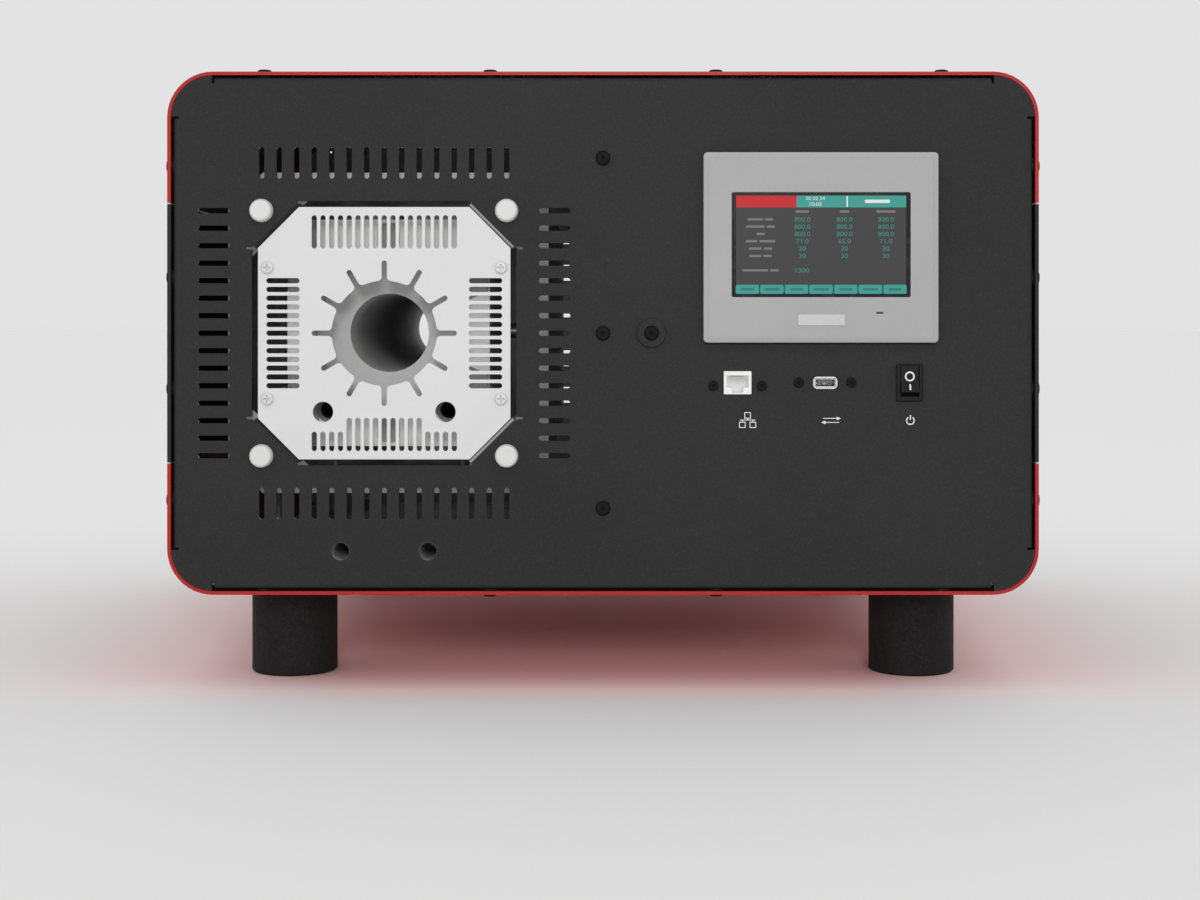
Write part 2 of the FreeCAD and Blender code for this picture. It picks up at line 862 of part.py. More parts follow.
def make_boss():
    disc = bar_along_y(boss_radius, front_y - boss_height, front_y, boss_x, case_centre_z)
    rim = [edge for edge in disc.Edges if edge.BoundBox.YMax < front_y - boss_height + 1e-6]
    disc = disc.makeChamfer(boss_height / 3, rim)
    recess = bar_along_y(boss_recess_radius, front_y - boss_height - 1,
                         front_y - boss_height + boss_recess_depth, boss_x, case_centre_z)
    hole = bar_along_y(screw_hole_radius, front_y - boss_height, front_y + 1, boss_x, case_centre_z)
    save("accessory_boss", cut_from(disc, [recess, hole]))


def make_rod_sockets():
    sockets = []
    back = front_y + rod_socket_length + rod_socket_end_wall
    for x, z in rod_socket_places():
        sleeve = bar_along_y(rod_socket_radius, panel_back_y, back, x, z)
        flange = bar_along_y(rod_socket_flange_radius, panel_back_y,
                             panel_back_y + rod_socket_flange_thickness, x, z)
        bore = bar_along_y(rod_socket_bore, panel_back_y - 1, front_y + rod_socket_length, x, z)
        sockets.append(cut_from(merged([sleeve, flange]), [bore]))
    save("rod_sockets", group(sockets))


# Shroud, tie rods and caps

def shroud_outline(inset):
    half = shroud_half - inset
    corner = 2 * shroud_half - shroud_chamfer - inset * math.sqrt(2)
    return octagon(half, corner, axis_x, case_centre_z)


def make_shroud():
    length_y0 = shroud_y
    length_y1 = -shroud_y
    outer = prism_along_y(shroud_outline(0), length_y0, length_y1)
    inner = prism_along_y(shroud_outline(shroud_thickness), length_y0 - 1, length_y1 + 1)
    shell = outer.cut(inner)
    reach = 2 * shroud_half
    lower = block(axis_x - reach, axis_x + reach, length_y0, length_y1, case_centre_z - reach,
                  case_centre_z - fit_gap)
    upper = block(axis_x - reach, axis_x + reach, length_y0, length_y1, case_centre_z + fit_gap,
                  case_centre_z + reach)
    save("shroud_lower", shell.common(lower))
    save("shroud_upper", shell.common(upper))


def make_shroud_frames():
    frame = prism_along_y(shroud_outline(0), frame_y, shroud_y)
    opening = prism_along_y(octagon(frame_opening_half, frame_opening_diagonal, axis_x, case_centre_z),
                            frame_y - 1, shroud_y + 1)
    holes = [bar_along_y(tie_rod_radius + rod_clearance, frame_y - 1, shroud_y + 1, axis_x + x, case_centre_z + z)
             for x, z in corner_pairs(tie_rod_offset, tie_rod_offset)]
    save("shroud_frames", group(both_ends([cut_from(frame, [opening] + holes)])))


def make_tie_rods():
    reach = case_depth / 2 + cap_thread_depth - 0.3
    rods = []
    spacers = []
    for x, z in corner_pairs(tie_rod_offset, tie_rod_offset):
        rods.append(bar_along_y(tie_rod_radius, -reach, reach, axis_x + x, case_centre_z + z))
        spacers.append(pipe_along_y(spacer_radius, tie_rod_radius + rod_clearance, panel_back_y, frame_y,
                                    axis_x + x, case_centre_z + z))
    save("tie_rods", group(rods))
    save("rod_spacers", group(both_ends(spacers)))


def cap_shape():
    foot = bar_along_z(cap_base_radius, 0, cap_base_height, 0, 0)
    body = Part.makeCone(cap_base_radius, cap_front_radius, cap_height - cap_base_height,
                         point(0, 0, cap_base_height))
    cap = merged([foot, body])
    rims = [edge for edge in cap.Edges if edge.BoundBox.ZMin > cap_height - 1e-6]
    cap = cap.makeFillet(cap_rounding, rims)
    return cut_from(cap, [bar_along_z(tie_rod_radius + 0.02, -1, cap_thread_depth, 0, 0)])


def make_corner_caps():
    cap = cap_shape()
    caps = []
    for x, z in corner_pairs(tie_rod_offset, tie_rod_offset):
        caps.append(placed(cap, point(axis_x + x, front_y, case_centre_z + z), point(0, -1, 0)))
        caps.append(placed(cap, point(axis_x + x, rear_y, case_centre_z + z), point(0, 1, 0)))
    save("corner_caps", group(caps))


# White end plates

def gear_cutter(y0, y1):
    hub = bar_along_y(gear_radius, y0, y1, axis_x, case_centre_z)
    arms = []
    tip = gear_reach - gear_slot_width / 2
    for step in range(gear_slots):
        angle = math.radians(360.0 * step / gear_slots)
        start = (axis_x + gear_radius / 2 * math.cos(angle), case_centre_z + gear_radius / 2 * math.sin(angle))
        finish = (axis_x + tip * math.cos(angle), case_centre_z + tip * math.sin(angle))
        arms.append(slot_prism(start, finish, gear_slot_width, y0, y1))
    gear = merged([hub] + arms)
    roots = []
    for edge in gear.Edges:
        middle = edge.CenterOfMass
        distance = math.hypot(middle.x - axis_x, middle.z - case_centre_z)
        upright = abs(edge.Length - (y1 - y0)) < 1e-6
        if upright and abs(distance - gear_radius) < 1e-3:
            roots.append(edge)
    return gear.makeFillet(gear_root_radius, roots)


def vent_cutters(y0, y1):
    cutters = []
    half = vent_width / 2
    for index, offset in enumerate(spread(vents_per_row, vent_pitch)):
        short = min(index, vents_per_row - 1 - index) < short_vents_per_side
        x = axis_x + offset
        cutters.append(slot_prism((x, case_centre_z + vent_inner + half), (x, case_centre_z + vent_outer - half),
                                  vent_width, y0, y1))
        inner = short_vent_inner if short else vent_inner
        cutters.append(slot_prism((x, case_centre_z - inner - half), (x, case_centre_z - vent_outer + half),
                                  vent_width, y0, y1))
    for offset in spread(vents_per_column, vent_pitch):
        z = case_centre_z + offset
        for side in (-1, 1):
            cutters.append(slot_prism((axis_x + side * (vent_inner + half), z),
                                      (axis_x + side * (vent_outer - half), z), vent_width, y0, y1))
    return cutters


def make_end_plates():
    y1 = front_y + end_plate_thickness
    plate = prism_along_y(octagon(end_plate_half, end_plate_diagonal, axis_x, case_centre_z), front_y, y1)
    cutters = [gear_cutter(front_y - 1, y1 + 1)] + vent_cutters(front_y - 1, y1 + 1)
    for x, z in corner_pairs(end_screw_x, end_screw_z):
        cutters.append(bar_along_y(screw_hole_radius, front_y - 1, y1 + 1, axis_x + x, case_centre_z + z))
    for side in (-1, 1):
        cutters.append(bar_along_y(probe_hole_radius, front_y - 1, y1 + 1, axis_x + side * probe_x,
                                   case_centre_z - probe_z))
    plate = cut_from(plate, cutters)
    save("end_plate_front", plate)
    save("end_plate_rear", to_rear(plate))


def make_end_plate_brackets():
    brackets = []
    screws = []
    screw = cross_screw()
    y0 = front_y + end_plate_thickness
    half = bracket_height / 2
    for x, z in corner_pairs(end_screw_x, end_screw_z):
        side = math.copysign(1, x)
        near = side * core_half_width
        web_x = sorted((axis_x + near, axis_x + near + side * bracket_thickness))
        flange_x = sorted((axis_x + near, axis_x + side * (end_plate_half - 1)))
        middle = case_centre_z + z
        web = block(web_x[0], web_x[1], y0, y0 + bracket_length, middle - half, middle + half)
        flange = block(flange_x[0], flange_x[1], y0, y0 + bracket_thickness, middle - half, middle + half)
        hole = bar_along_y(screw_radius, y0 - 1, y0 + bracket_thickness + 1, axis_x + x, middle)
        brackets.append(cut_from(merged([web, flange]), [hole]))
        screws.append(placed(screw, point(axis_x + x, front_y, middle), point(0, -1, 0)))
    save("end_plate_brackets", group(both_ends(brackets)))
    save("end_plate_screws", group(both_ends(screws)))


# Furnace core

def make_core_casing():
    wall = core_casing_thickness
    outer = block(axis_x - core_half_width, axis_x + core_half_width, core_y, -core_y,
                  case_centre_z - core_half_height, case_centre_z - fit_gap)
    inner = block(axis_x - core_half_width + wall, axis_x + core_half_width - wall, core_y - 1, -core_y + 1,
                  case_centre_z - core_half_height + wall, case_centre_z + 1)
    probe_holes = [bar_along_x(control_probe_hole_radius, axis_x - 2 * core_half_width,
                               axis_x + 2 * core_half_width, y, case_centre_z)
                   for y in control_probe_rows()]
    lower = cut_from(outer, [inner] + probe_holes)
    upper = cut_from(flipped(outer.cut(inner), case_centre_z), probe_holes + heater_post_holes())
    save("core_casing_lower", lower)
    save("core_casing_upper", upper)


def heater_spans():
    half = heater_centre_length / 2
    near = half + heater_spacing
    far = -ring_back_y - heater_end_gap
    return {"front": (-far, -near), "centre": (-half, half), "rear": (near, far)}


def heater_post_places():
    places = []
    for y0, y1 in heater_spans().values():
        for side in (-1, 1):
            places.append((axis_x, (y0 + y1) / 2 + side * heater_post_offset))
    return places


def heater_post_holes():
    return [bar_along_z(post_hole_radius, case_centre_z, case_centre_z + 2 * core_half_height, x, y)
            for x, y in heater_post_places()]


def control_probe_rows():
    row = (heater_centre_length + heater_spacing) / 2
    return (-row, 0, row)


def make_heaters():
    probe_hole = bar_along_x(control_probe_hole_radius, axis_x - 2 * heater_radius, axis_x + 2 * heater_radius,
                             0, case_centre_z)
    for name, (y0, y1) in heater_spans().items():
        sleeve = pipe_along_y(heater_radius, work_tube_radius + fit_gap, y0, y1, axis_x, case_centre_z)
        grooves = []
        count = int((y1 - y0 - heater_groove_pitch) / heater_groove_pitch)
        for offset in spread(count, heater_groove_pitch):
            middle = (y0 + y1) / 2 + offset
            grooves.append(pipe_along_y(heater_radius + 1, heater_radius - heater_groove_depth,
                                        middle - heater_groove_width / 2, middle + heater_groove_width / 2,
                                        axis_x, case_centre_z))
        sleeve = cut_from(sleeve, grooves + [probe_hole])
        posts = []
        for side in (-1, 1):
            y = (y0 + y1) / 2 + side * heater_post_offset
            posts.append(bar_along_z(heater_post_radius, case_centre_z + heater_radius - 3,
                                     case_centre_z + heater_post_height, axis_x, y))
        save("heater_" + name, merged([sleeve] + posts))


def pocket_places():
    return [(axis_x + side * probe_x, case_centre_z - probe_z) for side in (-1, 1)]


def make_insulation():
    wall = core_casing_thickness + fit_gap
    half_width = core_half_width - wall
    half_height = core_half_height - wall
    end = -board_back_y
    body = block(axis_x - half_width, axis_x + half_width, -end, end, case_centre_z - half_height, case_centre_z)
    cutters = [bar_along_y(insulation_bore, -end - 1, end + 1, axis_x, case_centre_z)]
    for y0, y1 in ((-end - 1, ring_back_y + 0.5), (-ring_back_y - 0.5, end + 1)):
        cutters.append(bar_along_y(end_ring_radius + fit_gap, y0, y1, axis_x, case_centre_z))
    for y in control_probe_rows():
        cutters.append(bar_along_x(control_probe_hole_radius, axis_x - 2 * half_width, axis_x + 2 * half_width,
                                   y, case_centre_z))
    pockets = [bar_along_y(pocket_outer_radius + fit_gap, -end - 1, core_y + pocket_length + 0.5, x, z)
               for x, z in pocket_places()]
    save("insulation_lower", cut_from(body, cutters + pockets))
    save("insulation_upper", cut_from(flipped(body, case_centre_z), cutters + heater_post_holes()))


def make_end_boards():
    wall = core_casing_thickness + fit_gap
    board = block(axis_x - core_half_width + wall, axis_x + core_half_width - wall, core_y, board_back_y,
                  case_centre_z - core_half_height + wall, case_centre_z + core_half_height - wall)
    hole = bar_along_y(end_ring_radius + fit_gap, core_y - 1, board_back_y + 1, axis_x, case_centre_z)
    pockets = [bar_along_y(pocket_outer_radius + fit_gap, core_y - 1, board_back_y + 1, x, z)
               for x, z in pocket_places()]
    front = cut_from(board, [hole] + pockets)
    rear = to_rear(cut_from(board, [hole]))
    save("end_boards", group([front, rear]))


def make_clamp_pads():
    y0 = core_y - pad_plate_thickness
    slot_half = upright_pad_slot_half
    upright = block(-upright_pad_half_width, upright_pad_half_width, y0, core_y, upright_pad_inner,
                    core_half_height)
    slot = rounded_prism(2 * slot_half, 2 * upright_pad_slot_top, slot_half * 0.6, 0, 0, y0 - 1, core_y + 1)
    upright = upright.cut(slot)
    rise = math.tan(math.radians(level_pad_angle))
    inner = level_pad_inner
    outer = core_half_width
    level = prism_along_y([(inner, -inner * rise), (outer, -outer * rise), (outer, outer * rise),
                           (inner, inner * rise)], y0, core_y)
    pads = [upright, turned_about_y(upright, 0, 0, 180), level, turned_about_y(level, 0, 0, 180)]
    for pad in pads:
        pad.translate(point(axis_x, 0, case_centre_z))
    pockets = [bar_along_y(pocket_outer_radius + fit_gap, y0 - 1, core_y + 1, x, z) for x, z in pocket_places()]
    save("clamp_pads", group([cut_from(pad, pockets) for pad in pads] + [to_rear(pad) for pad in pads]))


def make_end_rings_and_tube():
    disc = bar_along_y(end_ring_radius, ring_y, ring_back_y, axis_x, case_centre_z)
    bore = bar_along_y(bore_radius, ring_y - 1, ring_back_y + 1, axis_x, case_centre_z)
    seat = bar_along_y(work_tube_radius + fit_gap, tube_y, ring_back_y + 1, axis_x, case_centre_z)
    save("end_rings", group(both_ends([cut_from(disc, [bore, seat])])))
    save("work_tube", pipe_along_y(work_tube_radius, bore_radius, tube_y, -tube_y, axis_x, case_centre_z))


def make_probes():
    probes = []
    tip = work_tube_radius + 0.3
    head_start = core_half_width + 0.3
    heads = {side: axis_x + side * head_start for side in (-1, 1)}
    rows = control_probe_rows()
    for side, y in ((1, rows[0]), (1, rows[1]), (1, rows[2]), (-1, rows[1])):
        ends = sorted((axis_x + side * tip, heads[side]))
        head = sorted((heads[side], heads[side] + side * probe_head_length))
        stem = bar_along_x(control_probe_radius, ends[0], ends[1], y, case_centre_z)
        knob = bar_along_x(probe_head_radius, head[0], head[1], y, case_centre_z)
        probes.append(merged([stem, knob]))
    save("control_probes", group(probes))
    pockets = []
    for x, z in pocket_places():
        sleeve = bar_along_y(pocket_outer_radius, core_y, core_y + pocket_length, x, z)
        bore = bar_along_y(pocket_bore_radius, core_y - 1, core_y + pocket_length - pocket_end_wall, x, z)
        pockets.append(sleeve.cut(bore))
    save("probe_pockets", group(pockets))


def channel_stand(half_width, depth, foot, top_z, bottom_z, y):
    # An inverted channel with turned-out feet, across the furnace axis
    wall = stand_thickness
    half = depth / 2
    x0 = axis_x - half_width
    x1 = axis_x + half_width
    return merged([
        block(x0, x1, y - half, y + half, top_z - wall, top_z),
        block(x0, x0 + wall, y - half, y + half, bottom_z, top_z),
        block(x1 - wall, x1, y - half, y + half, bottom_z, top_z),
        block(x0 - foot, x0 + wall, y - half, y + half, bottom_z, bottom_z + wall),
        block(x1 - wall, x1 + foot, y - half, y + half, bottom_z, bottom_z + wall),
    ])


def make_stands():
    shroud_bottom = case_centre_z - shroud_half
    y = front_y + stand_setback
    save("furnace_stands", group(both_ends([
        channel_stand(stand_half_width, stand_depth, stand_foot, shroud_bottom, floor_top_z, y)])))
    y = front_y + core_stand_setback
    save("core_stands", group(both_ends([
        channel_stand(core_stand_half_width, core_stand_depth, stand_foot, case_centre_z - core_half_height,
                      shroud_bottom + shroud_thickness, y)])))


# Display unit

def make_display():
    z = case_centre_z + display_z
    face_y = front_y - bezel_thickness
    shoulder_y = face_y + bezel_bevel_depth
    base = rounded_prism(bezel_width, bezel_height, bezel_corner_radius, display_x, z, shoulder_y, front_y)
    inset = 2 * bezel_bevel_width
    outer = rounded_outline(bezel_width, bezel_height, bezel_corner_radius, display_x, z, shoulder_y)
    inner = rounded_outline(bezel_width - inset, bezel_height - inset, bezel_corner_radius, display_x, z, face_y)
    bevel = Part.makeLoft([outer, inner], True)
    recess = rounded_prism(glass_width, glass_height, glass_corner_radius, display_x, z + glass_rise,
                           face_y - 1, face_y + glass_recess)
    window = rounded_prism(active_width, active_height, 0.5, display_x, z + glass_rise, face_y - 1, front_y + 1)
    save("hmi_bezel", cut_from(merged([base, bevel]), [recess, window]))
    glass = rounded_prism(glass_width - 2 * fit_gap, glass_height - 2 * fit_gap, glass_corner_radius - fit_gap,
                          display_x, z + glass_rise, face_y + glass_recess - glass_thickness,
                          face_y + glass_recess)
    save("hmi_glass", glass)
    shell = rounded_prism(display_case_width, display_case_height, 3.0, display_x, z, front_y,
                          front_y + display_case_depth)
    wall = display_case_wall
    hollow = rounded_prism(display_case_width - 2 * wall, display_case_height - 2 * wall, 2.0, display_x, z,
                           front_y - 1, front_y + display_case_depth - wall)
    hooks = []
    half_hook = display_hook_width / 2
    for side in (-1, 1):
        x0, x1 = sorted((display_x + side * (display_case_width / 2 - 1),
                         display_x + side * (display_case_width / 2 + display_hook_reach)))
        hooks.append(block(x0, x1, panel_back_y, panel_back_y + display_hook_thickness, z - half_hook,
                           z + half_hook))
        z0, z1 = sorted((z + side * (display_case_height / 2 - 1),
                         z + side * (display_case_height / 2 + display_hook_reach)))
        hooks.append(block(display_x - half_hook, display_x + half_hook, panel_back_y,
                           panel_back_y + display_hook_thickness, z0, z1))
    save("hmi_rear_case", merged([shell.cut(hollow)] + hooks))


# Network socket and data socket

def port_ear(x, z, spacing, height):
    half = spacing / 2 + port_ear_margin
    ear = block(x - half, x + half, panel_back_y, panel_back_y + port_ear_thickness, z - height / 2, z + height / 2)
    holes = [bar_along_y(port_screw_radius + 0.02, panel_back_y - 1, panel_back_y + port_ear_thickness + 1,
                         x + side * spacing / 2, z) for side in (-1, 1)]
    return cut_from(ear, holes)


def make_network_jack():
    z = switch_z
    body = rounded_prism(network_width, network_height, 0.4, network_x, z, front_y - network_proud,
                         front_y + network_depth)
    ear = port_ear(network_x, z - network_screw_drop, network_screw_spacing, network_height - 2)
    mouth_y = front_y - network_proud - 1
    end_y = front_y + network_opening_depth
    opening_z = z + network_opening_rise
    half_height = network_opening_height / 2
    opening = block(network_x - network_opening_width / 2, network_x + network_opening_width / 2, mouth_y, end_y,
                    opening_z - half_height, opening_z + half_height)
    step = block(network_x - network_step_width / 2, network_x + network_step_width / 2, mouth_y, end_y,
                 opening_z - half_height - network_step_height, opening_z)
    save("network_jack", cut_from(merged([body, ear]), [opening, step]))


def make_data_port():
    z = switch_z
    mouth_y = front_y - data_proud
    body = rounded_prism(data_width, data_height, data_corner_radius, data_x, z, mouth_y, front_y + data_depth)
    ear = port_ear(data_x, z, data_screw_spacing, data_height)
    seat = block(data_x - data_shell_width / 2 - fit_gap, data_x + data_shell_width / 2 + fit_gap, mouth_y - 1,
                 front_y + data_depth + 1, z - data_shell_height / 2 - fit_gap, z + data_shell_height / 2 + fit_gap)
    save("data_surround", cut_from(merged([body, ear]), [seat]))
    wall = data_shell_wall
    outer = block(data_x - data_shell_width / 2, data_x + data_shell_width / 2, mouth_y + 0.3,
                  front_y + data_depth, z - data_shell_height / 2, z + data_shell_height / 2)
    inner = block(data_x - data_shell_width / 2 + wall, data_x + data_shell_width / 2 - wall, mouth_y,
                  front_y + data_depth - 3, z - data_shell_height / 2 + wall, z + data_shell_height / 2 - wall)
    save("data_shell", outer.cut(inner))


def make_port_screws():
    screw = button_screw(port_screw_head_radius, port_screw_head_height, port_screw_head_height * 0.6,
                         port_screw_radius, port_screw_length)
    save("port_screws", group([placed(screw, point(x, front_y, z), point(0, -1, 0))
                               for x, z in port_screw_places()]))


# Rocker switch

def rocker_outline(grow):
    half = rocker_height / 2 + grow
    tail = rocker_back + grow
    return [(-rocker_face - grow, half), (-rocker_face + rocker_dip - grow, 0), (-rocker_face - grow, -half),
            (-rocker_back, -half), (tail, -tail), (tail, tail), (-rocker_back, half)]


def rocker_solid(grow, angle):
    half = rocker_width / 2 + grow
    solid = prism_along_x(rocker_outline(grow), switch_x - half, switch_x + half)
    solid.rotate(point(0, 0, 0), point(1, 0, 0), angle)
    solid.translate(point(0, rocker_pivot_y, rocker_pivot_z))
    return solid


def make_switch():
    half_width = rocker_width / 2
    bezel = rounded_prism(switch_bezel_width, switch_bezel_height, 1.0, switch_x, switch_z,
                          front_y - switch_bezel_proud, front_y)
    rim = [edge for edge in bezel.Edges if edge.BoundBox.YMax < front_y - switch_bezel_proud + 1e-6]
    bezel = bezel.makeChamfer(0.6, rim)
    body = rounded_prism(switch_body_width, switch_body_height, 0.6, switch_x, switch_z, front_y,
                         front_y + switch_body_depth)
    mouth = block(switch_x - half_width - rocker_gap, switch_x + half_width + rocker_gap,
                  front_y - switch_bezel_proud - 1, rocker_pivot_y,
                  rocker_pivot_z - rocker_height / 2 - rocker_gap,
                  rocker_pivot_z + rocker_height / 2 + rocker_gap)
    sweeps = [rocker_solid(rocker_gap, rocker_tilt * step / 3) for step in range(-3, 4)]
    pins = bar_along_x(rocker_pin_radius + rocker_pin_clearance, switch_x - half_width - rocker_pin_length - 0.3,
                       switch_x + half_width + rocker_pin_length + 0.3, rocker_pivot_y, rocker_pivot_z)
    save("switch_body", cut_from(merged([bezel, body]), [mouth] + sweeps + [pins]))
    rocker = rocker_solid(0, -rocker_tilt)
    pin = bar_along_x(rocker_pin_radius, switch_x - half_width - rocker_pin_length,
                      switch_x + half_width + rocker_pin_length, rocker_pivot_y, rocker_pivot_z)
    save("power_rocker", merged([rocker, pin]))


# Mains inlet with fuse drawer, and every contact blade

def inlet_cavity_outline():
    half = inlet_cavity_width / 2
    top = case_centre_z + inlet_z - inlet_cavity_drop + inlet_cavity_height / 2
    bottom = top - inlet_cavity_height
    slant = 5.0
    return [(inlet_x - half + slant, top), (inlet_x + half - slant, top), (inlet_x + half, top - slant),
            (inlet_x + half, bottom), (inlet_x - half, bottom), (inlet_x - half, top - slant)]


def make_mains_inlet():
    z = case_centre_z + inlet_z
    face_y = rear_y + inlet_flange_thickness
    flange = rounded_prism(inlet_flange_width, inlet_flange_height, 3.0, inlet_x, z, rear_y, face_y)
    body = rounded_prism(inlet_body_width, inlet_body_height, 1.0, inlet_x, z, rear_y - inlet_body_depth, rear_y)
    cavity = prism_along_y(inlet_cavity_outline(), face_y - inlet_cavity_depth, face_y + 1)
    drawer_z = z + drawer_rise
    drawer_half = drawer_width / 2 + drawer_gap
    drawer_half_height = drawer_height / 2 + drawer_gap
    drawer_slot = block(inlet_x - drawer_half, inlet_x + drawer_half, face_y - drawer_depth - drawer_gap,
                        face_y + 1, drawer_z - drawer_half_height, drawer_z + drawer_half_height)
    holes = [bar_along_y(screw_hole_radius, rear_y - 1, face_y + 1, x, hole_z)
             for x, hole_z in inlet_screw_places()]
    save("mains_inlet", cut_from(merged([flange, body]), [cavity, drawer_slot] + holes))


def make_fuse_drawer():
    z = case_centre_z + inlet_z + drawer_rise
    face_y = rear_y + inlet_flange_thickness
    half = drawer_width / 2
    half_height = drawer_height / 2
    tray = block(inlet_x - half, inlet_x + half, face_y - drawer_depth, face_y + drawer_face_proud,
                 z - half_height, z + half_height)
    bay = (drawer_width - (fuse_count + 1) * drawer_wall) / fuse_count
    bays = []
    for offset in spread(fuse_count, bay + drawer_wall):
        bays.append(block(inlet_x + offset - bay / 2, inlet_x + offset + bay / 2,
                          face_y - drawer_depth + drawer_wall, face_y - 2.0,
                          z - half_height + drawer_wall, z + half_height + 1))
    nick = block(inlet_x - 4, inlet_x + 4, face_y - 0.6, face_y + drawer_face_proud + 1, z + half_height - 1.6,
                 z + half_height + 1)
    save("fuse_drawer", cut_from(tray, bays + [nick]))


def make_contact_blades():
    blades = []
    z = case_centre_z + inlet_z - inlet_cavity_drop
    root_y = rear_y + inlet_flange_thickness - inlet_cavity_depth
    tab_y = rear_y - inlet_body_depth
    for x_offset, rise in ((-inlet_pin_spacing / 2, -1), (0, inlet_earth_rise), (inlet_pin_spacing / 2, -1)):
        x = inlet_x + x_offset
        blades.append(block(x - inlet_pin_width / 2, x + inlet_pin_width / 2, root_y,
                            root_y + inlet_pin_length, z + rise - inlet_pin_height / 2,
                            z + rise + inlet_pin_height / 2))
        blades.append(block(x - blade_thickness / 2, x + blade_thickness / 2, tab_y - blade_length, tab_y,
                            z + rise - blade_width / 2, z + rise + blade_width / 2))
    switch_back = front_y + switch_body_depth
    for x_offset, z_offset in corner_pairs(3.6, 6.0):
        x = switch_x + x_offset
        blades.append(block(x - blade_thickness / 2, x + blade_thickness / 2, switch_back,
                            switch_back + blade_length, switch_z + z_offset - blade_width / 2,
                            switch_z + z_offset + blade_width / 2))
    save("contact_blades", group(blades))


# Cooling fan on the rear panel

def make_fan_frame():
    z = case_centre_z + fan_z
    frame = rounded_prism(fan_size, fan_size, fan_corner_radius, fan_x, z, fan_front_y, fan_back_y)
    duct = bar_along_y(fan_duct_radius, fan_front_y - 1, fan_back_y + 1, fan_x, z)
    holes = [bar_along_y(screw_radius, fan_front_y - 1, fan_back_y + 1, x, hole_z)
             for x, hole_z in fan_screw_places()]
    ring = cut_from(frame, [duct] + holes)
    motor = bar_along_y(fan_hub_radius - 1, fan_front_y, fan_front_y + fan_motor_height, fan_x, z)
    pin = bar_along_y(fan_pin_radius, fan_front_y, fan_back_y - 7, fan_x, z)
    struts = []
    reach = fan_duct_radius + 1
    half = fan_strut_width / 2
    for angle in (0, 90, 180, 270):
        strut = block(fan_x, fan_x + reach, fan_front_y, fan_front_y + 2.5, z - half, z + half)
        struts.append(turned_about_y(strut, fan_x, z, angle + 45))
    save("fan_frame", merged([ring, motor, pin] + struts))


def blade_section(radius, pitch_angle, middle_y, z):
    # A thin rectangle across the blade at one radius, tilted to the blade's pitch there
    half_chord = fan_blade_chord / 2
    half_thickness = fan_blade_thickness / 2
    cosine = math.cos(math.radians(pitch_angle))
    sine = math.sin(math.radians(pitch_angle))
    corners = []
    for along, across in ((-1, -1), (1, -1), (1, 1), (-1, 1)):
        u = along * half_chord
        v = across * half_thickness
        corners.append(point(fan_x + u * cosine - v * sine, middle_y + u * sine + v * cosine, z + radius))
    return Part.makePolygon(corners + corners[:1])


def make_fan_rotor():
    z = case_centre_z + fan_z
    hub_y0 = fan_front_y + fan_motor_height + 0.5
    hub_y1 = fan_back_y - 2.0
    middle = (hub_y0 + hub_y1) / 2
    hub = bar_along_y(fan_hub_radius, hub_y0, hub_y1, fan_x, z)
    rim = [edge for edge in hub.Edges if edge.BoundBox.YMin > hub_y1 - 1e-6]
    hub = hub.makeFillet(2.0, rim)
    tip_radius = fan_duct_radius - fan_blade_clearance
    blade = Part.makeLoft([blade_section(fan_hub_radius - 3, 48, middle, z),
                           blade_section((fan_hub_radius + tip_radius) / 2, 38, middle, z),
                           blade_section(tip_radius + 3, 28, middle, z)], True)
    blade = blade.common(bar_along_y(tip_radius, hub_y0, hub_y1, fan_x, z))
    blades = [turned_about_y(blade, fan_x, z, 360.0 * step / fan_blades) for step in range(fan_blades)]
    bore = bar_along_y(fan_pin_radius + fan_pin_clearance, hub_y0 - 1, fan_back_y - 6, fan_x, z)
    save("fan_rotor", cut_from(merged([hub] + blades), [bore]))


def make_fan_guard():
    z = case_centre_z + fan_z
    y = rear_y + guard_wire_radius
    wires = [bar_along_y(guard_hub_radius, rear_y, rear_y + 2 * guard_wire_radius, fan_x, z)]
    pitch = (fan_duct_radius - 2 - guard_hub_radius) / guard_rings
    for index in range(guard_rings):
        ring_radius = guard_hub_radius + pitch * (index + 1)
        wires.append(Part.makeTorus(ring_radius, guard_wire_radius, point(fan_x, y, z), point(0, 1, 0)))
    for x, hole_z in fan_screw_places():
        end = point(x, y, hole_z)
        run = end - point(fan_x, y, z)
        start = end - run * (1 - 0.5 * guard_hub_radius / run.Length)
        wires.append(Part.makeCylinder(guard_wire_radius * 0.9, (end - start).Length, start, run))
        wires.append(bar_along_y(screw_hole_radius + 2.2, rear_y, rear_y + 2 * guard_wire_radius, x, hole_z))
    holes = [bar_along_y(screw_radius + 0.05, rear_y - 1, rear_y + 3, x, hole_z)
             for x, hole_z in fan_screw_places()]
    save("fan_guard", cut_from(merged(wires), holes))


# Electronics

